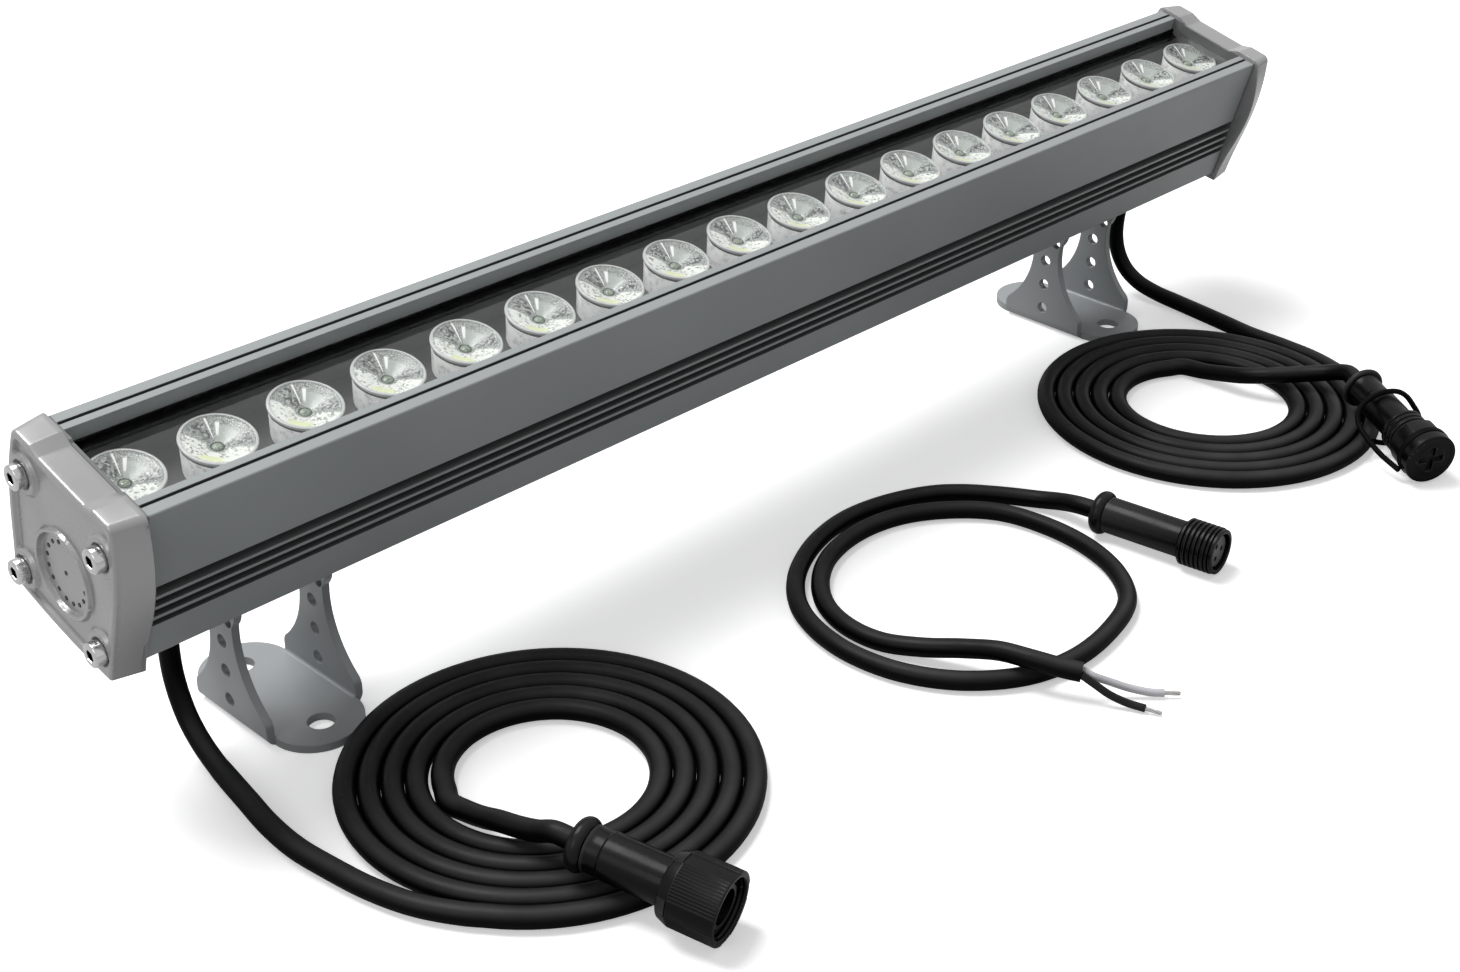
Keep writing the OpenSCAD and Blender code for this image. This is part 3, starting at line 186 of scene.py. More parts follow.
def turned(profile, cols=64, radius=None):
    """Turned form: profile rows (r, z) swept round z; radius(angle, r, z) may shape each ring."""
    a = np.linspace(0.0, 2.0 * math.pi, cols, endpoint=False)[None, :]
    r, z = np.array(profile, float).T
    r, z = r[:, None] + 0.0 * a, z[:, None] + 0.0 * a
    if radius is not None:
        r = radius(a + 0.0 * r, r, z)
    return np.stack([r * np.cos(a), r * np.sin(a), z], -1)


def rounded_profile(corners, steps=5):
    """Profile through corners (r, z, radius); each corner with a radius is rounded by a quadratic curve."""
    out = []
    pts = np.array([c[:2] for c in corners], float)
    for i, c in enumerate(corners):
        radius = c[2] if len(c) > 2 else 0.0
        if radius <= 0.0 or i in (0, len(corners) - 1):
            out.append(pts[i])
            continue
        back, ahead = pts[i - 1] - pts[i], pts[i + 1] - pts[i]
        lb, la = np.linalg.norm(back), np.linalg.norm(ahead)
        cut = min(radius, 0.49 * lb, 0.49 * la)
        t = np.linspace(0.0, 1.0, steps + 1)[:, None]
        a, b = pts[i] + back / lb * cut, pts[i] + ahead / la * cut
        out += list((1 - t) ** 2 * a + 2 * t * (1 - t) * pts[i] + t ** 2 * b)
    return np.array(out)


def placed(part, place):
    """The part's vertices carried by a placing function, its faces kept."""
    return place(part[0]), part[1]


# Cords: smooth tubes along the routes of the solids

def spline(points, per_span=8):
    """Catmull-Rom curve through the points, with square roots of chords as knots and straight ends."""
    p = np.array(points, float)
    p = np.concatenate([[2 * p[0] - p[1]], p, [2 * p[-1] - p[-2]]])
    knots = np.concatenate([[0.0], np.cumsum(np.sqrt(np.linalg.norm(np.diff(p, axis=0), axis=1)))])
    out = []
    for i in range(1, len(p) - 2):
        t = np.linspace(knots[i], knots[i + 1], per_span, endpoint=False)[:, None]
        k0, k1, k2, k3 = knots[i - 1:i + 3]

        def mixed(a, b, near, far):
            return (far - t) / (far - near) * a + (t - near) / (far - near) * b

        a1, a2 = mixed(p[i - 1], p[i], k0, k1), mixed(p[i], p[i + 1], k1, k2)
        a3 = mixed(p[i + 1], p[i + 2], k2, k3)
        out.append(mixed(mixed(a1, a2, k0, k2), mixed(a2, a3, k1, k3), k1, k2))
    return np.concatenate(out + [p[-2:-1]])


def tube(line, d, cols=20, shape=None):
    """Round tube of diameter d along the line, its rings free of twist; shape(row, angle) scales them."""
    line = np.asarray(line, float)
    ways = np.gradient(line, axis=0)
    ways /= np.linalg.norm(ways, axis=1, keepdims=True)
    side = np.cross([0.0, 0.0, 1.0], ways[0])
    if np.linalg.norm(side) < 0.1:
        side = np.cross([1.0, 0.0, 0.0], ways[0])
    sides = []
    for w in ways:
        side = side - w * np.dot(side, w)
        side = side / np.linalg.norm(side)
        sides.append(side)
    sides = np.array(sides)
    ups = np.cross(ways, sides)
    a = np.linspace(0.0, 2.0 * math.pi, cols, endpoint=False)
    r = np.full((len(line), cols), d / 2.0)
    if shape is not None:
        r = r * shape(np.arange(len(line))[:, None] / (len(line) - 1.0), a[None, :])
    points = (line[:, None, :] + r[..., None] * (np.cos(a)[None, :, None] * sides[:, None, :]
                                                + np.sin(a)[None, :, None] * ups[:, None, :]))
    return sleeve(points, pole_first=True, pole_last=True)


COIL_RINGS = 96
DRAW_IN, DRAW_IN_OVER = 0.8, 0.25


def coil(centre, radius, turns, start, way):
    """Flat spiral that loses one pitch a turn and draws in a little more over its last quarter turn."""
    t = np.linspace(0.0, turns, int(turns * COIL_RINGS) + 1)
    late = np.clip((t - turns + DRAW_IN_OVER) / DRAW_IN_OVER, 0.0, None)
    r = radius - COIL_PITCH * t - DRAW_IN * late ** 2
    a = np.radians(start + way * 360.0 * t)
    return np.stack([centre[0] + r * np.cos(a), centre[1] + r * np.sin(a), np.full_like(r, CORD_D / 2)], -1)


def cord_line(exit_point, drop, spiral, tail, at, turn):
    """Drop, spiral and tail up to a plug as one line; the joints keep a straight bit of one cord diameter."""
    back, way = plug_back(at, turn), plug_axis(turn)
    first = spiral[0] - (spiral[1] - spiral[0]) / np.linalg.norm(spiral[1] - spiral[0]) * CORD_D
    last = spiral[-1] + (spiral[-1] - spiral[-2]) / np.linalg.norm(spiral[-1] - spiral[-2]) * CORD_D
    top = spline([exit_point] + drop + [first, spiral[0]], 6)
    end = spline([spiral[-1], last] + tail + [back - way * CORD_D, back], 8)
    return np.concatenate([top[:-1], spiral, end[1:]])


left_drop = [
    (-218.5, 0.6, 38), (-218.5, 1.3, 31), (-218.5, 1, 24), (-218.6, -0.9, 17.4), (-218.8, -4.4, 11.6),
    (-219.2, -10, 7.2), (-219.8, -17.5, 4.2), (-220.8, -26, 3.2), (-222.4, -37, 3), (-224.2, -49, 3),
    (-224.8, -62, 3), (-223.4, -75, 3), (-221, -89, 3), (-216.8, -102, 3)]
right_drop = [
    (218.5, 0.7, 38), (218.4, 1.6, 31), (218.3, 1.5, 24), (218.6, -0.2, 17), (219.3, -4, 10.8),
    (220, -10, 6.6), (220.8, -18, 4.2), (221.2, -28, 3.1), (219.8, -40, 3), (218, -53, 3), (216.2, -65, 3)]
left_tail = [
    (-184.5, -82.3, 3.8), (-184.6, -89.5, 5.8), (-184.6, -96.8, 8.5), (-184.2, -104, 10.4),
    (-183.8, -111, 12.8)]
right_tail = [
    (175.5, -72.2, 3.8), (175.6, -79.6, 5.4), (175.6, -87.4, 7.4), (177.6, -94.8, 9.2),
    (181.6, -101.4, 10.4), (186, -107.4, 11.4), (189, -113.2, 12.8), (190, -118.2, 14.5)]
lead_route = [
    (57.4, -102, 6.8), (57.8, -95, 5), (56, -87, 3.4), (50, -76, 3), (42, -65.6, 3), (33.6, -58.6, 3),
    (19, -52.4, 3), (3.4, -49.8, 3), (-11, -51.4, 3), (-25, -56.4, 3), (-37.4, -64, 3), (-47.6, -74.8, 3),
    (-53.6, -87.6, 3), (-56, -103.4, 3), (-53, -120.6, 3), (-43.6, -136.4, 3), (-28.4, -148, 3),
    (-11.2, -152.4, 3), (8.4, -150.8, 3), (26, -144.6, 3), (37.4, -132, 3), (43.4, -116, 3), (44.4, -99, 3),
    (40.8, -83, 3), (31, -70.8, 3), (16, -61.4, 3), (-1, -58.4, 3), (-19.2, -61.8, 3), (-32.4, -69.8, 3),
    (-41.6, -80.6, 3), (-45.8, -93, 3), (-45.2, -106, 3.2), (-40.6, -118, 4.6), (-35, -129.6, 7),
    (-31.6, -140, 9.4), (-29.4, -149, 10), (-25.8, -158, 9.4)]
lead_end = (-22.8, -163.2, 8.8)
white_route = [
    (-20.6, -165, 7.6), (-16.6, -168.6, 5.2), (-12.4, -173, 3), (-8.4, -177.6, 1.8), (-5.6, -180.4, 1.6)]
black_route = [(-22.4, -167.4, 6.6), (-20.4, -171.4, 4), (-17.8, -176, 2), (-15.6, -181, 1.4)]

gland_mouth = head_place([[-GLAND_X, 0.0, GLAND_MOUTH_Z], [GLAND_X, 0.0, GLAND_MOUTH_Z]])
left_line = cord_line(gland_mouth[0], left_drop, coil((-158.2, -83.8), 59.3, 4.82, 215.0, 1), left_tail,
                      INLET_AT, INLET_TURN)
right_line = cord_line(gland_mouth[1], right_drop, coil((155.3, -84.8), 60.4, 4.83, 0.0, -1), right_tail,
                       OUTLET_AT, OUTLET_TURN)
lead_back = plug_back(LEAD_AT, LEAD_TURN)
lead_line = spline([lead_back] + lead_route + [lead_end], 8)


# Finishes

WHITE = (1.0, 1.0, 1.0)


def filled(made, values):
    """The node with its named inputs or settings given."""
    for key, value in values.items():
        if key in made.inputs:
            made.inputs[key].default_value = value
        else:
            setattr(made, key, value)
    return made


def node(tree, kind, **values):
    return filled(tree.nodes.new(kind), values)


def link(socket, made, key):
    """Runs the socket into the node's input of that name or number."""
    made.id_data.links.new(socket, made.inputs[key])


def material(name, colour, roughness, metallic=0.0):
    """Principled material; returns it with its shader and its node tree."""
    made = bpy.data.materials.new(name)
    made.use_nodes = True
    shader = made.node_tree.nodes["Principled BSDF"]
    filled(shader, {"Base Color": (*colour, 1.0), "Roughness": roughness, "Metallic": metallic})
    return made, shader, made.node_tree


def shaded(colour, share):
    return tuple(c * share for c in colour)


def place_coords(tree, scale=WHITE):
    """Object coordinates stretched by scale, as a socket."""
    mapping = node(tree, "ShaderNodeMapping", Scale=scale)
    link(node(tree, "ShaderNodeTexCoord").outputs["Object"], mapping, "Vector")
    return mapping.outputs["Vector"]


def noise(tree, scale, detail=2.0, stretch=WHITE, rough=0.5):
    made = node(tree, "ShaderNodeTexNoise", Scale=scale, Detail=detail, Roughness=rough)
    link(place_coords(tree, stretch), made, "Vector")
    return made.outputs["Fac"]


def calc(operation, a, b=None, clamp=False):
    """Math node's result; a and b are sockets or numbers."""
    tree = (b if isinstance(a, (int, float)) else a).id_data
    made = node(tree, "ShaderNodeMath", operation=operation, use_clamp=clamp)
    for i, value in enumerate((a, b)):
        if isinstance(value, (int, float)):
            made.inputs[i].default_value = value
        elif value is not None:
            link(value, made, i)
    return made.outputs[0]


def graded(fac, low, high, a=0.3, b=0.7):
    """Colour ramp from low to high between the positions a and b."""
    ramp = node(fac.id_data, "ShaderNodeValToRGB")
    for i, (place, colour) in enumerate(((a, low), (b, high))):
        ramp.color_ramp.elements[i].position = place
        ramp.color_ramp.elements[i].color = (*colour, 1.0)
    link(fac, ramp, "Fac")
    return ramp.outputs["Color"]


def toned(fac, under, over):
    """Mix of the colour under with the colour over by fac; either may be a socket."""
    mix = node(fac.id_data, "ShaderNodeMix", data_type="RGBA")
    link(fac, mix, "Factor")
    for key, value in (("A", under), ("B", over)):
        if isinstance(value, tuple):
            mix.inputs[key].default_value = (*value, 1.0)
        else:
            link(value, mix, key)
    return mix.outputs["Result"]


def ranged(fac, low, high):
    """Noise's usual range, 0.3 to 0.7, spread from low to high."""
    made = node(fac.id_data, "ShaderNodeMapRange")
    filled(made, {"From Min": 0.3, "From Max": 0.7, "To Min": low, "To Max": high})
    link(fac, made, "Value")
    return made.outputs["Result"]


def bumped(shader, height, depth, strength=1.0, edge=0.0):
    """Bump of the given depth in metres; edge softens sharp edges by that radius."""
    bump = node(shader.id_data, "ShaderNodeBump", Strength=strength, Distance=depth)
    link(height, bump, "Height")
    if edge:
        bevel = node(shader.id_data, "ShaderNodeBevel", samples=4, Radius=edge)
        link(bevel.outputs["Normal"], bump, "Normal")
    link(bump.outputs["Normal"], shader, "Normal")


def drifting(tree, colour, spread, scale, detail):
    """Tone that drifts round the colour by that share of it."""
    low, high = shaded(colour, 1.0 - spread), shaded(colour, 1.0 + spread)
    return graded(noise(tree, scale, detail), low, high)


def uneven(shader, middle, by, scale, detail):
    """Roughness that drifts round its middle."""
    link(ranged(noise(shader.id_data, scale, detail), middle - by, middle + by), shader, "Roughness")


# Share of the colour left in the painted shade of hollows
PAINTED_SHADE_TONE = 0.12


def coated(name, colour, roughness, metallic, spread=0.08, grain=900.0, depth=0.00004, edge=0.0004,
           painted_shade_reach=0.0):
    """Powder coat or cast skin: fine grain, slow drift of tone and of roughness, painted shade in hollows
    from ambient occlusion.
    """
    made, shader, tree = material(name, colour, roughness, metallic)
    tone = drifting(tree, colour, spread, 30.0, 4.0)
    # Painted shade: ambient occlusion darkens the colour in grooves and hollows
    if painted_shade_reach:
        shade = node(tree, "ShaderNodeAmbientOcclusion", samples=6, only_local=True, Distance=painted_shade_reach)
        openness = calc("POWER", shade.outputs["AO"], 1.8)
        tone = toned(openness, shaded(colour, PAINTED_SHADE_TONE), tone)
    link(tone, shader, "Base Color")
    filled(shader, {"Specular IOR Level": 0.3})
    uneven(shader, roughness, 0.05, 80.0, 3.0)
    bumped(shader, noise(tree, grain, 2.0), depth, 0.5, edge)
    return made


# Way the skin faces where its painted highlight is brightest
PAINTED_HIGHLIGHT_WAY = (-0.15, -0.30, 0.94)
EDGE_START, EDGE_GAIN = 0.515, 14.0


def rubbery(name, colour, roughness, grain=1500.0, depth=0.00003, spread=0.2, shine=0.5, glow=0.0,
            painted_flank_shade=1.0, edge_highlight=0.0):
    """Moulded rubber or plastic with very fine grain.

    Glow is a painted glow, emission that stands in for light let through. The share of the tone left on the
    sides is painted shade under a painted highlight on the crest, and the tone of sharp edges is a painted
    highlight.
    """
    made, shader, tree = material(name, colour, roughness)
    # Emission with glow is a painted glow; the part is no lamp
    filled(shader, {"Specular IOR Level": shine, "Emission Color": (*colour, 1.0), "Emission Strength": glow})
    tone = drifting(tree, colour, spread, 60.0, 5.0)
    skin = node(tree, "ShaderNodeNewGeometry")
    # Painted highlight where the skin faces the highlight way, painted shade elsewhere on the sides; the
    # specular level falls on the sides too
    if painted_flank_shade < 1.0:
        weight = node(tree, "ShaderNodeLayerWeight", Blend=0.5)
        front = calc("SUBTRACT", 1.0, weight.outputs["Facing"], True)
        crest = node(tree, "ShaderNodeVectorMath", operation="DOT_PRODUCT")
        crest.inputs[1].default_value = PAINTED_HIGHLIGHT_WAY
        link(skin.outputs["Normal"], crest, 0)
        top = calc("POWER", calc("MAXIMUM", crest.outputs["Value"], 0.0), 5.0)
        tone = toned(top, shaded(colour, painted_flank_shade), tone)
        share = calc("ADD", calc("MULTIPLY", front, 0.9), 0.1)
        link(calc("MULTIPLY", share, shine), shader, "Specular IOR Level")
    # Painted highlight on sharp edges
    if edge_highlight:
        sharp = calc("SUBTRACT", skin.outputs["Pointiness"], EDGE_START)
        tone = toned(calc("MULTIPLY", sharp, EDGE_GAIN, True), tone, (edge_highlight, edge_highlight, edge_highlight))
    link(tone, shader, "Base Color")
    uneven(shader, roughness, 0.07, 150.0, 4.0)
    bumped(shader, noise(tree, grain, 2.0), depth, 0.4)
    return made


housing_finish = coated("housing_coat", (0.352, 0.375, 0.379), 0.42, 0.04, spread=0.02, edge=0.0003,
                        painted_shade_reach=0.004)
cap_finish = coated("cap_coat", (0.362, 0.362, 0.364), 0.25, 0.34, spread=0.015, grain=1200.0, depth=0.00001,
                    edge=0.0002)
bracket_finish = coated("bracket_coat", (0.330, 0.346, 0.354), 0.38, 0.10, spread=0.03, edge=0.0005)
# The bracket grey darkened to about a third as painted shade: the upper brackets sit in the lamp's shade
upper_bracket_shaded_finish = coated("upper_bracket_shaded_coat", (0.105, 0.115, 0.122), 0.46, 0.10)
seal_finish = rubbery("seal_rubber", (0.0015, 0.0015, 0.0015), 0.60, shine=0.05)
# Cords and plugs: painted highlight on their crests and painted shade on their sides; the plugs also a
# painted highlight on sharp edges
cord_finish = rubbery("cord_sheath", (0.046, 0.046, 0.0465), 0.34, shine=0.05, painted_flank_shade=0.04)
plug_finish = rubbery("plug_shell", (0.016, 0.016, 0.017), 0.27, depth=0.00001, shine=0.13, painted_flank_shade=0.05,
                      edge_highlight=0.05)
gasket_finish = rubbery("gasket_rubber", (0.150, 0.152, 0.155), 0.55)
shroud_finish = rubbery("shroud_seal", (0.130, 0.130, 0.135), 0.40)
gland_finish = rubbery("gland_nylon", (0.005, 0.005, 0.0055), 0.40, shine=0.20)
insert_finish = rubbery("contact_block", (0.060, 0.060, 0.063), 0.45, shine=0.3)
# Its glow is a painted glow, standing in for light let through the white plastic
holder_finish = rubbery("lens_holder", (0.90, 0.91, 0.90), 0.30, grain=900.0, depth=0.0003, spread=0.12,
                        glow=0.28)
white_wire_finish = rubbery("white_sleeve", (0.58, 0.58, 0.61), 0.35, spread=0.04)
black_wire_finish = rubbery("black_sleeve", (0.004, 0.004, 0.004), 0.35, shine=0.2)
driver_finish = rubbery("component_case", (0.020, 0.020, 0.024), 0.30)
board_green_finish = coated("driver_mask", (0.015, 0.11, 0.045), 0.35, 0.0, edge=0.0)
board_finish = coated("lamp_board_mask", (0.088, 0.086, 0.085), 0.45, 0.0, spread=0.10, edge=0.0)


def brushed(name, colour, roughness, stretch=WHITE):
    """Metal with fine turning marks in its roughness and bump."""
    made, shader, tree = material(name, colour, roughness, 1.0)
    marks = noise(tree, 1400.0, 3.0, stretch)
    link(ranged(marks, roughness - 0.06, roughness + 0.08), shader, "Roughness")
    tone = graded(noise(tree, 90.0, 3.0), shaded(colour, 0.88), colour)
    link(tone, shader, "Base Color")
    bumped(shader, marks, 0.00001, 0.4)
    return made


screw_finish = brushed("screw_steel", (0.50, 0.50, 0.50), 0.16, (0.2, 1.0, 1.0))
contact_finish = brushed("contact_metal", (0.78, 0.62, 0.30), 0.25)
strand_finish = brushed("strand_metal", (0.50, 0.49, 0.48), 0.30, (1.0, 0.2, 1.0))


def shade_and_mark_finish():
    """Dark, dull metal: painted shade for what lies deep in the screws' sockets, and the dark colour of the
    dials' marks.
    """
    made, shader, tree = material("screw_socket_shade_and_marks", (0.010, 0.010, 0.011), 0.4, 0.6)
    bumped(shader, noise(tree, 1200.0), 0.00002)
    tone = graded(noise(tree, 200.0), (0.006, 0.006, 0.007), (0.016, 0.016, 0.017))
    link(tone, shader, "Base Color")
    return made


def phosphor_finish():
    """Yellow phosphor with paler and greener spots."""
    made, shader, tree = material("emitter_phosphor", (0.62, 0.66, 0.20), 0.25)
    tone = graded(noise(tree, 900.0, 3.0), (0.42, 0.50, 0.12), (0.78, 0.80, 0.42))
    link(tone, shader, "Base Color")
    bumped(shader, noise(tree, 2500.0), 0.00003)
    return made


def glass_finish():
    """Cover glass with a coat against reflections: a very faint mirror that grows at low angles."""
    made, shader, tree = material("cover_glass", (0.93, 0.97, 0.96), 0.04, 1.0)
    fresnel = node(tree, "ShaderNodeFresnel", IOR=1.35)
    link(calc("MULTIPLY", fresnel.outputs["Fac"], 0.08), shader, "Alpha")
    link(ranged(noise(tree, 25.0, 2.0), 0.03, 0.06), shader, "Roughness")
    return made


LENS_REACH = 9.4
DIAGONAL = 0.7071


def lamp_space(tree):
    """Coordinates in metres in the lamp's own frame: along it, across it, and over its underside."""
    lean = node(tree, "ShaderNodeMapping", Rotation=(-TILT, 0.0, 0.0))
    lean.inputs["Location"].default_value = (0.0, -PIVOT_Z * MM * math.sin(TILT),
                                             -(PIVOT_Z * math.cos(TILT) + PIVOT_DROP) * MM)
    link(node(tree, "ShaderNodeTexCoord").outputs["Object"], lean, "Vector")
    parts = node(tree, "ShaderNodeSeparateXYZ")
    link(lean.outputs["Vector"], parts, "Vector")
    return parts


def lens_polar(tree):
    """Angle in degrees from the right rear, and share of LENS_REACH, about the nearest lens's axis."""
    parts = lamp_space(tree)
    share = calc("FRACT", calc("DIVIDE", parts.outputs["X"], LENS_PITCH * MM))
    x = calc("MULTIPLY", calc("SUBTRACT", share, 0.5), LENS_PITCH / LENS_REACH)
    y = calc("DIVIDE", parts.outputs["Y"], LENS_REACH * MM)
    across = calc("MULTIPLY", calc("SUBTRACT", x, y), DIAGONAL)
    back = calc("MULTIPLY", calc("ADD", x, y), DIAGONAL)
    angle = calc("MULTIPLY", calc("ARCTAN2", back, across), 180.0 / math.pi)
    reach = calc("SQRT", calc("ADD", calc("MULTIPLY", x, x), calc("MULTIPLY", y, y)))
    return angle, reach


def sector(value, middle, half, soft):
    """One inside middle plus or minus half, falling to nothing over soft."""
    away = calc("ABSOLUTE", calc("SUBTRACT", value, middle))
    return calc("DIVIDE", calc("SUBTRACT", half + soft, away), soft, clamp=True)


def lens_finish():
    """Moulded optic: fine cells over a bright funnel and a clear rim; painted shade in two darker
    wedge-shaped areas, painted highlights as a bright front and streak lines, and a faint painted glow.

    A patch has its middle, half width and soft edge twice: round the axis in degrees, then away from it.
    """
    made, shader, tree = material("lens_optic", (0.80, 0.83, 0.81), 0.16)
    filled(shader, {"Specular IOR Level": 0.3, "Coat Weight": 0.12, "Coat Roughness": 0.06})
    angle, reach = lens_polar(tree)

    def patch(turn, away):
        return calc("MULTIPLY", sector(angle, *turn), sector(reach, *away))

    cells = node(tree, "ShaderNodeTexVoronoi", Scale=1700.0, feature="DISTANCE_TO_EDGE")
    link(place_coords(tree), cells, "Vector")
    mesh = graded(cells.outputs["Distance"], (0.16, 0.18, 0.17), (0.60, 0.63, 0.61), 0.02, 0.32)
    sparkle = node(tree, "ShaderNodeTexVoronoi", Scale=1500.0)
    link(place_coords(tree, (1.0, 1.0, 0.6)), sparkle, "Vector")
    spark = node(tree, "ShaderNodeSeparateColor")
    link(sparkle.outputs["Color"], spark, "Color")
    # Dark mottled tone for the painted shade, and bright specks for the painted highlight at the front
    shade_mottle = graded(spark.outputs["Red"], (0.06, 0.065, 0.065), (0.50, 0.53, 0.51), 0.25, 1.0)
    painted_glints = graded(spark.outputs["Green"], (0.26, 0.28, 0.26), (0.84, 0.87, 0.82), 0.02, 0.34)
    clear = toned(noise(tree, 1500.0, 2.0), (0.34, 0.38, 0.35), (0.52, 0.56, 0.53))
    tone = toned(patch((78.0, 30.0, 6.0), (0.45, 0.20, 0.10)), mesh, clear)
    # Painted shade: two darker wedge-shaped areas left and right of the funnel
    painted_shade_wedges = calc("MAXIMUM", patch((22.0, 13.0, 5.0), (0.60, 0.30, 0.06)),
                  patch((148.0, 16.0, 5.0), (0.60, 0.30, 0.06)))
    tone = toned(painted_shade_wedges, tone, shade_mottle)
    # Painted highlight: bright specks over the front of the lens
    tone = toned(patch((-93.0, 84.0, 8.0), (0.70, 0.36, 0.06)), tone, painted_glints)
    # Painted glow: pale yellow-green light below the emitter at the front
    tone = toned(patch((-92.0, 16.0, 12.0), (0.82, 0.10, 0.10)), tone, (0.74, 0.80, 0.50))
    # Painted highlight: white streak lines running out from the emitter
    painted_streaks = calc("MAXIMUM", patch((124.0, 1.4, 1.2), (0.64, 0.30, 0.06)),
                   patch((103.0, 3.4, 2.0), (0.60, 0.16, 0.08)))
    tone = toned(painted_streaks, tone, WHITE)
    tone = toned(sector(reach, 0.180, 0.016, 0.010), tone, (0.06, 0.07, 0.06))
    emitter = graded(noise(tree, 1800.0, 2.0), (0.14, 0.18, 0.13), (0.34, 0.40, 0.32), 0.40, 0.60)
    tone = toned(sector(reach, 0.0, 0.155, 0.02), tone, emitter)
    tone = toned(sector(reach, 1.07, 0.045, 0.015), tone, (0.56, 0.58, 0.57))
    link(tone, shader, "Base Color")
    # The emission is a faint painted glow of the whole optic
    link(tone, shader, "Emission Color")
    filled(shader, {"Emission Strength": 0.04})
    bumped(shader, cells.outputs["Distance"], 0.00012, 0.6)
    return made


lens_glass = lens_finish()
# Near-black: painted shade inside the screws' sockets, and the dial marks' own dark colour
socket_shade_and_marks = shade_and_mark_finish()

for finish, names in (
        (housing_finish, "housing"), (glass_finish(), "glass_cover"), (seal_finish, "glass_seal"),
        (gasket_finish, "cap_gasket_left cap_gasket_right"), (board_finish, "led_board"),
        (phosphor_finish(), "led_chips"), (board_green_finish, "driver_board"),
        (driver_finish, "driver_parts"),
        (gland_finish, "gland_body_left gland_body_right gland_nut_left gland_nut_right"),
        (upper_bracket_shaded_finish, "upper_bracket_left upper_bracket_right"),
        (bracket_finish, "bracket_left bracket_right"), (screw_finish, "pivot_washers pivot_nuts"),
        (contact_finish, "inlet_plug_pins"), (shroud_finish, "inlet_plug_seal"),
        (insert_finish, "outlet_plug_insert lead_plug_insert")):
    for name in names.split():
        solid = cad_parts[name]
        solid.data.materials.clear()
        solid.data.materials.append(finish)


# Cords and wires

WIDER = 0.08


def pressed(line):
    """Shape for a tube: a little wider sideways wherever it lies on the floor, as pressed turns are."""
    low = smoothstep(4.0, 3.1, np.asarray(line)[:, 2])[:, None]
    return lambda row, angle: 1.0 + WIDER * low * np.cos(angle) ** 2


def cord_piece(name, line, replaces, shape=None):
    return piece(name, [tube(line, CORD_D, shape=shape)], cord_finish, None, replaces)


left_cord = cord_piece("inlet_cord", left_line, ["cord_drop_left", "cord_coil_left", "cord_tail_left"],
                       pressed(left_line))
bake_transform(left_cord)
right_cord = cord_piece("outlet_cord", right_line, ["cord_drop_right", "cord_coil_right", "cord_tail_right"],
                        pressed(right_line))
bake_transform(right_cord)
spare_cord = cord_piece("spare_lead_cord", lead_line, ["lead_cord"])
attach(spare_cord, "base")

lead_tip_way = np.array(lead_end) - np.array(lead_route[-1])
lead_tip_way /= np.linalg.norm(lead_tip_way)
lead_tip_side = np.cross(lead_tip_way, [0.0, 0.0, 1.0])
lead_tip_side /= np.linalg.norm(lead_tip_side)
WIRE_D, WIRE_ASIDE, WIRE_SUNK = 2.4, 1.32, 0.05
STRAND_D, STRAND_L = 0.46, 5.0


def wire_piece(colour, route, side, finish):
    """One bared wire that leaves the lead's end on the given side."""
    start = np.array(lead_end) + lead_tip_side * side * WIRE_ASIDE
    line = spline([start - lead_tip_way * WIRE_SUNK] + route, 8)
    return piece(f"{colour}_wire", [tube(line, WIRE_D, 16)], finish, "base",
                 [f"lead_wire_{colour}"])


white_wire = wire_piece("white", white_route, -1, white_wire_finish)
black_wire = wire_piece("black", black_route, 1, black_wire_finish)


def strand_bundle(route):
    """One thin strand with six round it, in a slow twist about the wire's end direction."""
    end, before = np.array(route[-1], float), np.array(route[-2], float)
    way = (end - before) / np.linalg.norm(end - before)
    side = np.cross(way, [0.0, 0.0, 1.0])
    side /= np.linalg.norm(side)
    up = np.cross(way, side)
    t = np.linspace(0.0, 1.0, 12)[:, None]
    out = []
    for k in range(7):
        a = 2.0 * math.pi * k / 6.0 + 1.6 * t
        r = 0.0 if k == 6 else STRAND_D
        along = way * (t * (STRAND_L - 0.25 * (k % 3)) - 0.2)
        out.append(tube(end + along + r * (side * np.cos(a) + up * np.sin(a)), STRAND_D, 8))
    return out


strands = piece("bare_strands", strand_bundle(white_route) + strand_bundle(black_route), strand_finish,
                "base", ["lead_strands"])


# Plugs

inlet_place = plug_place(INLET_AT, INLET_TURN)
outlet_place = plug_place(OUTLET_AT, OUTLET_TURN)
lead_place = plug_place(LEAD_AT, LEAD_TURN)


def bead_profile(d):
    """Half of a rounded bead that starts at the cord."""
    a = np.linspace(-90.0, 75.0, 14)
    r = d / 2 - BEAD_T / 2 + BEAD_T / 2 * np.cos(np.radians(a))
    z = BEAD_T / 2 + BEAD_T / 2 * np.sin(np.radians(a))
    return [(0.0, 0.0)] + list(zip(r, z))


def plain(profile, cols=72, radius=None, closed=False):
    """Turned form as a part: a closed ring, or else with both ends fanned shut."""
    points = turned(profile, cols, radius)
    return sleeve(points, close_rows=closed, pole_first=not closed, pole_last=not closed)


def plug_piece(name, part, place, replaces, body="base", smooth=40.0):
    return piece(name, [placed(part, place)], plug_finish, body, [replaces], smooth)


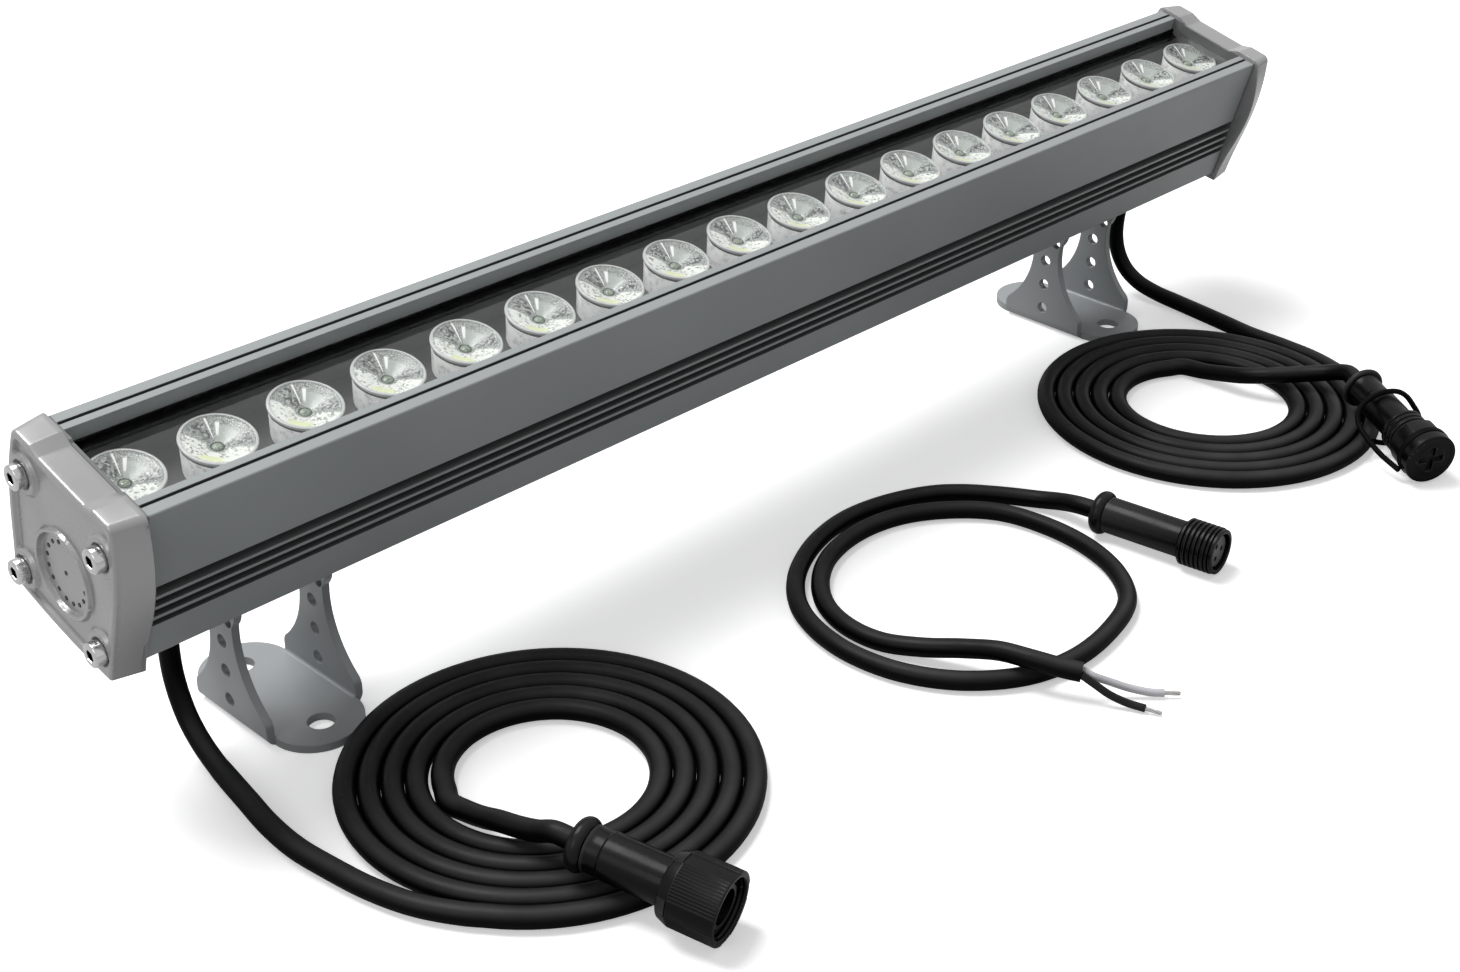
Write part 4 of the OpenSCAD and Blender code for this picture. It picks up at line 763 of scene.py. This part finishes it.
def inlet_shell():
    """Bead, barrel with a small step, flange and pin shroud; the profile returns down the shroud's bore."""
    profile = bead_profile(15.0)
    profile += list(rounded_profile([
        (6.4, 4.9), (6.1, 6.4, 0.8), (6.1, 9.4, 0.3), (6.5, 9.9, 0.3), (6.5, 31.1), (7.77, 31.1),
        (7.77, 33.1, 0.2), (6.2, 33.15), (6.2, 43.2, 0.35), (4.8, 43.2, 0.35), (4.8, 35.1),
        (0.3, 35.1)]))
    return plain(profile)


NUT_L, NUT_THREAD_PITCH = 16.8, 1.5
GROOVE_STEP, GROOVE_DEPTH, PLAIN_DEPTH = 5.0, 0.65, 0.30


def nut_shape(a, r, z):
    """Fine grooves in four patches round the nut, plain between them."""
    outside = (r > 9.0) & (z > 3.2)
    turn = np.degrees(a) % 90.0
    patch = smoothstep(8.0, 10.0, turn) * smoothstep(72.0, 70.0, turn)
    groove = (0.5 - 0.5 * np.cos(2.0 * math.pi * (turn - 9.0) / GROOVE_STEP)) ** 0.5
    deep = GROOVE_DEPTH * np.where(outside, 1.0, 0.0) * patch * groove
    flat = PLAIN_DEPTH * (1.0 - patch)
    return r - deep * smoothstep(3.4, 4.4, z) * smoothstep(16.4, 15.6, z) - np.where(outside, flat, 0.0)


def nut_shell():
    """Coupling nut: cone, ribbed grip, mouth and threaded bore down to its shoulder."""
    outer = rounded_profile([(6.55, 0.0), (8.9, 0.0, 0.5), (10.15, 3.5, 0.4), (10.15, NUT_L, 0.5),
                             (8.7, NUT_L, 0.3), (8.3, 16.4)])
    z = np.linspace(16.0, 3.6, 60)
    thread = np.stack([8.22 - 0.16 * np.cos(2.0 * math.pi * z / NUT_THREAD_PITCH), z], -1)
    profile = np.concatenate([outer, thread, [(8.2, 3.0), (6.55, 3.0)]])
    return plain(profile, cols=576, radius=nut_shape, closed=True)


def lifted(part, height):
    """The part moved along its own axis."""
    return part[0] + [0.0, 0.0, height], part[1]


inlet_body = plug_piece("inlet_plug", inlet_shell(), inlet_place, "inlet_plug_body")
inlet_nut = plug_piece("inlet_nut", lifted(nut_shell(), INLET_L - NUT_L), inlet_place, "coupling_nut",
                       "coupling_nut", 50.0)

THREAD_DEPTH = 0.74


def threaded_shell(thread_z, length, barrel, bead, pitch, step=0.0):
    """Bead, barrel with or without a step, turned thread, rim and the bore to its floor."""
    r = barrel / 2
    neck = [(r, 4.9)]
    if step:
        neck = [(r - 0.1, 4.9), (r - 0.4, 6.6, 0.8), (r - 0.4, step, 0.3), (r, step + 0.6, 0.3)]
    neck += [(r, thread_z - 0.4, 0.3), (7.1, thread_z, 0.1)]
    z = np.linspace(thread_z + 0.1, length - 1.6, 110)
    crest = 0.5 - 0.5 * np.cos(2.0 * math.pi * (z - thread_z - 0.1) / pitch)
    thread = np.stack([7.0 + THREAD_DEPTH * np.minimum(1.0, 1.7 * crest), z], -1)
    rim = rounded_profile([(7.0, length - 1.4), (7.45, length - 1.2, 0.2), (7.45, length, 0.4),
                           (6.0, length, 0.4), (6.0, length - 10.4), (0.3, length - 10.5)])
    return plain(np.concatenate([bead, rounded_profile(neck), thread, rim]))


flare = [(0.0, 0.0), (3.6, 0.0), (4.3, 0.3), (5.3, 2.2), (6.2, 2.7), (7.2, 2.9), (7.5, 3.4), (7.4, 4.2),
         (6.6, 4.8)]
lead_body = plug_piece("spare_lead_plug", threaded_shell(32.3, LEAD_L, 12.0, bead_profile(14.5), 1.62),
                       lead_place, "lead_plug_body", smooth=55.0)
outlet_body = plug_piece("outlet_plug", threaded_shell(30.0, 46.8, 12.3, flare, 2.1, 13.0), outlet_place,
                         "outlet_plug_body", smooth=55.0)

SCREW_CAP_L = 11.7
ARM_HALF_L, ARM_HALF_W, ARM_DEPTH = 4.5, 1.1, 1.2
SKIRT_FLAT, FACE_DISH = 0.45, 0.15
STRAP_D, COLLAR_Z = 1.9, 44.0


def cap_skirt_shape(a, r, z):
    """Shallow flats round the skirt."""
    turn = (np.degrees(a) + 30.0) % 60.0 - 30.0
    flat = SKIRT_FLAT * np.clip(np.abs(turn) / 30.0, 0.0, 1.0) ** 2
    skirt = (r > 8.6) & (z < 5.6)
    return r - np.where(skirt, SKIRT_FLAT - flat, 0.0)


def screw_cap_shell():
    """Skirt, collar groove, end disc and its face with a four-armed recess in the middle."""
    profile = rounded_profile([(7.85, 0.0), (9.05, 0.0, 0.4), (9.05, 5.7, 0.3), (8.5, 5.8), (8.5, 8.1),
                               (9.25, 8.1, 0.3), (9.25, SCREW_CAP_L, 0.4), (8.5, SCREW_CAP_L)])
    r = np.linspace(8.4, 0.25, 44)
    profile = np.concatenate([profile, np.stack([r, np.full_like(r, SCREW_CAP_L)], -1)])
    points = turned(profile, 288, cap_skirt_shape)
    x, y, z = points[..., 0], points[..., 1], points[..., 2]
    one_arm = np.maximum(np.abs(x) - ARM_HALF_L, np.abs(y) - ARM_HALF_W)
    other_arm = np.maximum(np.abs(y) - ARM_HALF_L, np.abs(x) - ARM_HALF_W)
    reach = np.hypot(x, y)
    sink = (ARM_DEPTH * smoothstep(0.25, -0.25, np.minimum(one_arm, other_arm))
            + FACE_DISH * smoothstep(7.8, 7.2, reach) * smoothstep(4.9, 5.4, reach))
    points[..., 2] = z - np.where(z > SCREW_CAP_L - 0.1, sink, 0.0)
    inside = turned([(0.3, 8.7), (7.85, 8.7), (7.85, 0.0)], 288)
    return sleeve(np.concatenate([inside, points[1:]]), pole_first=True, pole_last=True)


outlet_cap = plug_piece("outlet_cap", lifted(screw_cap_shell(), OUTLET_L - SCREW_CAP_L), outlet_place,
                        "screw_cap", "screw_cap", 45.0)

strap_route = [
    (5.6, -8.7, 45.9), (5.4, -9.4, 42.4), (4.6, -10.8, 38), (3.4, -11.9, 32.5), (2, -12.5, 27),
    (0.4, -12.3, 22.6), (-2, -10.9, 19.6), (-4.9, -7.8, 18.4), (-6.8, -4, 18.2), (-7.6, 0, 18.3),
    (-6.9, 4.2, 18.4), (-4.6, 7.8, 18.7), (-1.4, 10.3, 20), (1, 11.4, 22.6), (3.2, 10.6, 25.4),
    (5.4, 8, 27), (7.3, 4, 27.5), (7.9, -0.6, 27.5), (7.1, -4.8, 27.5), (6, -8.2, 27.3)]
collar = plain(rounded_profile([(8.6, 0.0), (9.44, 0.0, 0.25), (9.44, 2.2, 0.25), (8.6, 2.2)]), closed=True)
strap = piece("cap_strap", [placed(tube(spline(strap_route, 6), STRAP_D, 12), outlet_place),
                            placed(lifted(collar, COLLAR_Z), outlet_place)],
              seal_finish, "base", ["cap_tether"])


# Screws

SOCKET_FLATS, SOCKET_DEPTH = 3.0, 2.0


def socket_shape(a, r, z):
    """A ring whose radius is below zero becomes a hexagon of that share of the socket's width."""
    turn = (np.degrees(a) + 30.0) % 60.0 - 30.0
    hexagon = SOCKET_FLATS / 2.0 / np.cos(np.radians(turn))
    return np.where(r < 0.0, hexagon * -r, r)


def screws_at(places, head_d, top, d, length):
    """Bodies of one socket head screw and, apart, the inside of its socket in painted shade, repeated at each
    placing function.
    """
    profile = [(0.0, -length), (d / 2 - 0.3, -length), (d / 2, 0.4 - length), (d / 2, 0.0),
               (head_d / 2 - 0.15, 0.0), (head_d / 2, 0.15), (head_d / 2, top - 0.55),
               (head_d / 2 - 0.12, top - 0.25), (head_d / 2 - 0.45, top - 0.05), (head_d / 2 - 0.75, top),
               (SOCKET_FLATS / 2 + 0.45, top), (-1.06, top - 0.02), (-1.0, top - 0.22),
               (-1.0, top - SOCKET_DEPTH)]
    body = sleeve(turned(profile[:-1], 48, socket_shape), pole_first=True)
    shaded_pit = sleeve(turned(profile[-2:], 48, socket_shape), pole_last=True)
    return [placed(body, p) for p in places], [placed(shaded_pit, p) for p in places]


def screw_pieces(name, places, size, body, replaces):
    """Screws' bodies and the insides of their sockets in painted shade, as two pieces; size is head width,
    head height, thread and length.
    """
    bodies, shaded_pits = screws_at(places, *size)
    piece(f"{name}_heads", bodies, screw_finish, body, [replaces])
    piece(f"{name}_sockets", shaded_pits, socket_shade_and_marks, body)


for end, s in (("left", -1.0), ("right", 1.0)):
    places = [facing((s * CAP_SCREW_SEAT, y, z), (s, 0, 0), (0, 0, 1), head_place) for y, z in CAP_SCREWS]
    screw_pieces(f"cap_screws_{end}", places, (7.0, 4.0, 4.0, 21.0), "head", f"cap_screws_{end}")

EAR_FACE = 17.2
places = [facing((x + s * EAR_FACE, 0, PIVOT_Z), (s, 0, 0), (0, 0, 1))
          for x in (-PIVOT_X, PIVOT_X) for s in (-1.0, 1.0)]
screw_pieces("pivot_bolt", places, (7.0, 4.0, 4.0, 10.3), "base", "pivot_bolts")
places = [facing((x, y, -2.5), (0, 0, -1), (1, 0, 0), head_place)
          for x in (-PIVOT_X, PIVOT_X) for y in (-12.5, 12.5)]
screw_pieces("plate_screw", places, (7.0, 2.4, 4.0, 7.5), "head", "upper_bracket_screws")


# Lenses and their holders

def lens_rings():
    """Outline of one lens: outer cup from its foot to the rim, then the funnel as seen through the optic."""
    t = np.linspace(0.0, 1.0, 14)
    cup_r = 2.6 + (9.0 - 2.6) * t ** 0.6
    cup = np.stack([cup_r, 1.4 + 7.9 * t], -1)
    rim = [(9.0, 9.3), (10.4, 9.35, 0.3), (10.4, 10.28, 0.4), (9.5, 10.3, 0.2), (9.3, 10.0)]
    share = t[1:]
    funnel = np.stack([9.3 - 7.6 * share, 10.0 - 2.6 * share ** 1.3], -1)
    bow = 0.5 * math.pi * share[::2]
    dome = np.stack([1.5 * np.cos(bow), 7.3 + 0.7 * np.sin(bow)], -1)
    return np.concatenate([[(0.2, 2.3), (1.6, 2.3), (1.65, 1.4)], cup, rounded_profile(rim, 3), funnel,
                           [(1.6, 7.25)], dome])


def holder_rings():
    corners = [(7.9, 0.0), (8.75, 0.0, 0.2), (9.95, 9.1, 0.15), (9.2, 9.1, 0.15), (7.9, 0.0)]
    return rounded_profile(corners, 3)[:-1]


def holder_shape(a, r, z):
    """Uneven moulded skin: slow ripples round the holder."""
    return r + 0.05 * np.sin(7.0 * a + 1.3 * z) + 0.04 * np.sin(13.0 * a - 2.1 * z)


# Height over the lamp's underside above which the holder gets painted shade under the lens rim
RIM_SHADE_Z = 40.35


def rim_shade(made):
    """Painted shade on the holder just under the lens rim, and creases in its skin, set over its own colour;
    the same tone feeds its painted glow.
    """
    tree = made.node_tree
    shader = tree.nodes["Principled BSDF"]
    height = lamp_space(tree).outputs["Z"]
    skin = noise(tree, 420.0, 6.0, rough=0.7)
    creases = graded(skin, (0.50, 0.51, 0.50), (0.93, 0.94, 0.93), 0.34, 0.52)
    tone = toned(calc("GREATER_THAN", height, RIM_SHADE_Z * MM), creases, (0.015, 0.015, 0.015))
    link(tone, shader, "Base Color")
    link(tone, shader, "Emission Color")


rim_shade(holder_finish)


def lens_row(part):
    """The part repeated at the place of every lens."""
    places = [(i - (LENS_COUNT - 1) / 2) * LENS_PITCH for i in range(LENS_COUNT)]
    return [(head_place(part[0] + [x, 0.0, LENS_FOOT_Z]), part[1]) for x in places]


holder_part = plain(holder_rings(), 64, holder_shape, closed=True)
lens_part = plain(lens_rings(), 64)
piece("lens_row", lens_row(lens_part), lens_glass, "head", ["lenses"], smooth=50.0)
piece("lens_holder_row", lens_row(holder_part), holder_finish, "head", ["lens_holders"])

CHANNEL_HALF_L = 239.6


def channel_strip(near, far, low, high):
    """Bars along both sides of the lens channel, from near to far across the lamp and low to high up it."""
    out = []
    for side in (1.0, -1.0):
        ring = np.array([(near, low), (far, low), (far, high), (near, high)])
        rows = [np.column_stack([np.full(4, x), ring[:, 0] * side, ring[:, 1]])
                for x in (-CHANNEL_HALF_L, CHANNEL_HALF_L)]
        out.append(sleeve(head_place(np.stack(rows)), pole_first=True, pole_last=True))
    return out


piece("glass_seal_lips", channel_strip(12.5, 14.3, 42.15, 42.45), seal_finish, "head")
piece("channel_walls", channel_strip(14.1, 14.28, 31.95, 39.85), board_finish, "head")


# End caps

CAP_INNER, CAP_T = 240.3, 9.7
BELLY_Z, TOP_Z, FOOT_Z = 29.4, 50.1, -2.7
CORNER_R, TOE_R, BORDER_R = 2.6, 0.5, 0.9
FOOT_SAG, NOTCH_SLOPE, NOTCH_HALF, NOTCH_DEPTH = 1.1, 2.8, 10.8, 1.85
DRAFT_Z = 0.55


def cap_half_width(z, k, inset):
    """Half width of the cap at height z: a cosine swell up to the belly and a parabola above it."""
    foot = HOUSING_HALF_W + 1.4 - 1.1 * k - inset
    belly = HOUSING_HALF_W + 5.25 - 3.0 * k - inset
    crown = HOUSING_HALF_W + 0.7 - 1.1 * k - inset
    up = (z - BELLY_Z) / (TOP_Z - BELLY_Z)
    down = np.clip((z - FOOT_Z) / (BELLY_Z - FOOT_Z), 0.0, 1.0)
    low = foot + (belly - foot) * (1.0 - np.cos(math.pi * down)) / 2.0
    return np.where(z > BELLY_Z, belly - (belly - crown) * up * up, low)


def cap_outline(k, inset, n=96):
    """Closed outline of the cap with its notch; k is 0 at the inner plane and 1 at the face."""
    top = TOP_Z - DRAFT_Z * k - inset
    bottom = FOOT_Z + DRAFT_Z * k + inset
    shoulder = top - CORNER_R
    side_z = np.linspace(bottom + TOE_R, shoulder, n)
    side_y = cap_half_width(side_z, k, inset)
    a = np.radians(np.linspace(0.0, 90.0, 14)[1:])
    corner_y = side_y[-1] - CORNER_R
    corner = np.stack([corner_y + CORNER_R * np.cos(a), shoulder + CORNER_R * np.sin(a)], -1)
    deep = top - (TOP_Z - NOTCH_DEPTH - inset)
    notch_half = NOTCH_HALF + 0.3 * inset
    brink = notch_half + NOTCH_SLOPE + 0.6
    run = np.linspace(corner_y, brink, 14)[1:]
    t = np.linspace(0.0, 1.0, 16)
    fall = np.stack([brink - (NOTCH_SLOPE + 1.2) * t, top - deep * t], -1)
    flat = np.linspace(notch_half - 0.6, 0.0, 14)[1:]
    foot_y = side_y[0] - TOE_R
    a = np.radians(np.linspace(90.0, 0.0, 6))
    toe = np.stack([foot_y + TOE_R * np.cos(a), bottom + TOE_R - TOE_R * np.sin(a)], -1)[:-1]
    base_y = np.linspace(0.0, foot_y, 30)[:-1]
    base = np.stack([base_y, bottom - FOOT_SAG * (1.0 - (base_y / foot_y) ** 2)], -1)
    half = np.concatenate([base, toe, np.stack([side_y, side_z], -1), corner,
                           np.stack([run, np.full_like(run, top)], -1), fall[1:],
                           np.stack([flat, np.full_like(flat, top - deep)], -1)])
    other = half[1:-1][::-1] * [-1.0, 1.0]
    return np.concatenate([half, other])


RECESS_DEPTH, DIAL_DEPTH, COUNTERBORE_DEPTH = 1.1, 1.5, 1.0


def face_depth(y, z, edge):
    """Depth of the face below its border: recess, screw bosses, ring, disc and counterbores."""
    recess = RECESS_DEPTH * smoothstep(1.9, 2.9, edge)
    for sy, sz in CAP_SCREWS:
        recess = recess * smoothstep(5.5, 6.4, np.hypot(y - sy, z - sz))
    d = np.hypot(y, z - DIAL_Z)
    ring = smoothstep(13.1, 12.6, d) * smoothstep(11.1, 11.6, d)
    recess = recess * (1.0 - ring)
    sunk = recess + (DIAL_DEPTH - recess) * smoothstep(11.6, 11.1, d) * (d < 12.0)
    recess = np.where(d < 11.1, DIAL_DEPTH, sunk)
    for sy, sz in CAP_SCREWS:
        recess = np.maximum(recess, COUNTERBORE_DEPTH * smoothstep(4.1, 3.8, np.hypot(y - sy, z - sz)))
    return recess


def cap_shell(s):
    """Wall from the inner plane to the rounded border, then the face as a height field down to its middle."""
    rows = []
    for inset, x in ((6.0, 0.0), (0.3, 0.0), (0.08, 0.08), (0.0, 0.3)):
        rows.append((cap_outline(0.0, inset), x))
    for t in np.linspace(0.15, 1.0, 8):
        rows.append((cap_outline(t, 0.0), 0.3 + (CAP_T - 1.2) * t))
    for a in np.linspace(0.0, 90.0, 8)[1:]:
        inset = BORDER_R * (1.0 - math.cos(math.radians(a)))
        rows.append((cap_outline(1.0, inset), CAP_T - BORDER_R + BORDER_R * math.sin(math.radians(a))))
    grid = [np.column_stack([np.full(len(o), CAP_INNER + x), o]) for o, x in rows]
    border = rows[-1][0]
    middle = np.array([0.0, DIAL_Z])
    reach = np.linalg.norm(border - middle, axis=1)
    for share in np.concatenate([np.linspace(0.0, 0.16, 26)[1:], np.linspace(0.16, 0.985, 110)[1:]]):
        o = middle + (border - middle) * (1.0 - share)
        depth = face_depth(o[:, 0], o[:, 1], share * reach * 0.93 + BORDER_R)
        grid.append(np.column_stack([CAP_INNER + CAP_T - depth, o]))
    points = np.stack(grid)
    if s < 0:
        points = points * [-1.0, 1.0, 1.0]
        points = points[:, ::-1]
    return sleeve(head_place(points), pole_first=True, pole_last=True)


MARK_D, MARK_T, MARK_SUNK, MARK_CIRCLE_R, MARK_STEP = 1.3, 0.4, 0.25, 8.75, 22.5


def dial_marks(s):
    """Twelve round dark marks on the dial's circle, and one at its middle: flat discs with a soft edge."""
    r, soft = MARK_D / 2, 0.05
    disc = plain([(r - soft, 0.0), (r, soft), (r, MARK_T - soft), (r - soft, MARK_T)], cols=20)
    foot = s * (CAP_INNER + CAP_T - DIAL_DEPTH - MARK_SUNK)
    angles = np.radians(112.5 + MARK_STEP * np.arange(12))
    places = [(0.0, 0.0)] + [(MARK_CIRCLE_R * s * math.cos(a), MARK_CIRCLE_R * math.sin(a)) for a in angles]
    return [placed(disc, facing((foot, y, DIAL_Z + z), (s, 0, 0), (0, 0, 1), head_place)) for y, z in places]


for end, s in (("left", -1.0), ("right", 1.0)):
    name = f"end_cap_{end}"
    piece(f"{name}_shell", [cap_shell(s)], cap_finish, "head", [name], smooth=30.0)
    piece(f"{name}_marks", dial_marks(s), socket_shade_and_marks, "head")


# Floor and light

def floor_finish():
    """Pale floor; the camera, mirrors and glass see it nearly white, and the camera whiter far out."""
    made, shader, tree = material("floor_white", (0.50, 0.50, 0.50), 0.9)
    filled(shader, {"Specular IOR Level": 0.0, "Emission Color": (*WHITE, 1.0)})
    path = node(tree, "ShaderNodeLightPath")
    mirrored = calc("MAXIMUM", path.outputs["Is Glossy Ray"], path.outputs["Is Transmission Ray"])
    seen = path.outputs["Is Camera Ray"]
    tone = calc("ADD", calc("MULTIPLY", seen, 0.55), calc("MULTIPLY", mirrored, 0.20))
    link(calc("ADD", tone, 0.50), shader, "Base Color")
    reach = node(tree, "ShaderNodeVectorMath", operation="LENGTH")
    link(node(tree, "ShaderNodeTexCoord").outputs["Object"], reach, 0)
    far = calc("MULTIPLY", calc("SUBTRACT", reach.outputs["Value"], 0.55), 0.9, True)
    direct = calc("MULTIPLY", seen, calc("ADD", far, 0.425))
    glow = calc("ADD", direct, calc("MULTIPLY", mirrored, 0.10))
    link(glow, shader, "Emission Strength")
    return made


FLOOR_HALF, FLOOR_Z = 6, -0.0002
floor_mesh = bpy.data.meshes.new("floor")
corners = [(x * FLOOR_HALF, y * FLOOR_HALF, FLOOR_Z) for x, y in ((-1, -1), (1, -1), (1, 1), (-1, 1))]
floor_mesh.from_pydata(corners, [], [(0, 1, 2, 3)])
floor = new_object("floor", floor_mesh)
floor_mesh.materials.append(floor_finish())

# The world lights the lamp dimly, and is white where the camera, mirrors and glass see it
world = bpy.data.worlds.new("studio")
bpy.context.scene.world = world
world.use_nodes = True
tree = world.node_tree
dim = filled(tree.nodes["Background"], {"Color": (*WHITE, 1.0), "Strength": 0.28})
white = node(tree, "ShaderNodeBackground", Color=(*WHITE, 1.0), Strength=1.0)
rays = node(tree, "ShaderNodeLightPath").outputs
blend = node(tree, "ShaderNodeMixShader")
direct = calc("MAXIMUM", rays["Is Camera Ray"], rays["Is Glossy Ray"])
link(calc("MAXIMUM", direct, rays["Is Transmission Ray"]), blend, "Fac")
link(dim.outputs["Background"], blend, 1)
link(white.outputs["Background"], blend, 2)
link(blend.outputs["Shader"], tree.nodes["World Output"], "Surface")


def soft_lamp(name, place, target, size, watts):
    """Square area lamp at place that looks at target."""
    data = bpy.data.lights.new(name, "AREA")
    data.shape = "SQUARE"
    data.size = size
    data.energy = watts
    lamp = new_object(name, data)
    away = np.array(place, float) - np.array(target, float)
    lamp.location = place
    flat = math.hypot(away[0], away[1])
    lamp.rotation_euler = (math.atan2(flat, away[2]), 0.0, math.atan2(away[0], -away[1]))
    return lamp


soft_lamp("top_softbox", (-0.4, 0.9, 2.25), (0.0, -0.05, 0.0), 1.3, 56.0)
soft_lamp("side_softbox", (-2.0, -0.3, 1.2), (0.0, 0.0, 0.05), 1.0, 6.0)

bpy.context.scene.view_settings.view_transform = "Standard"
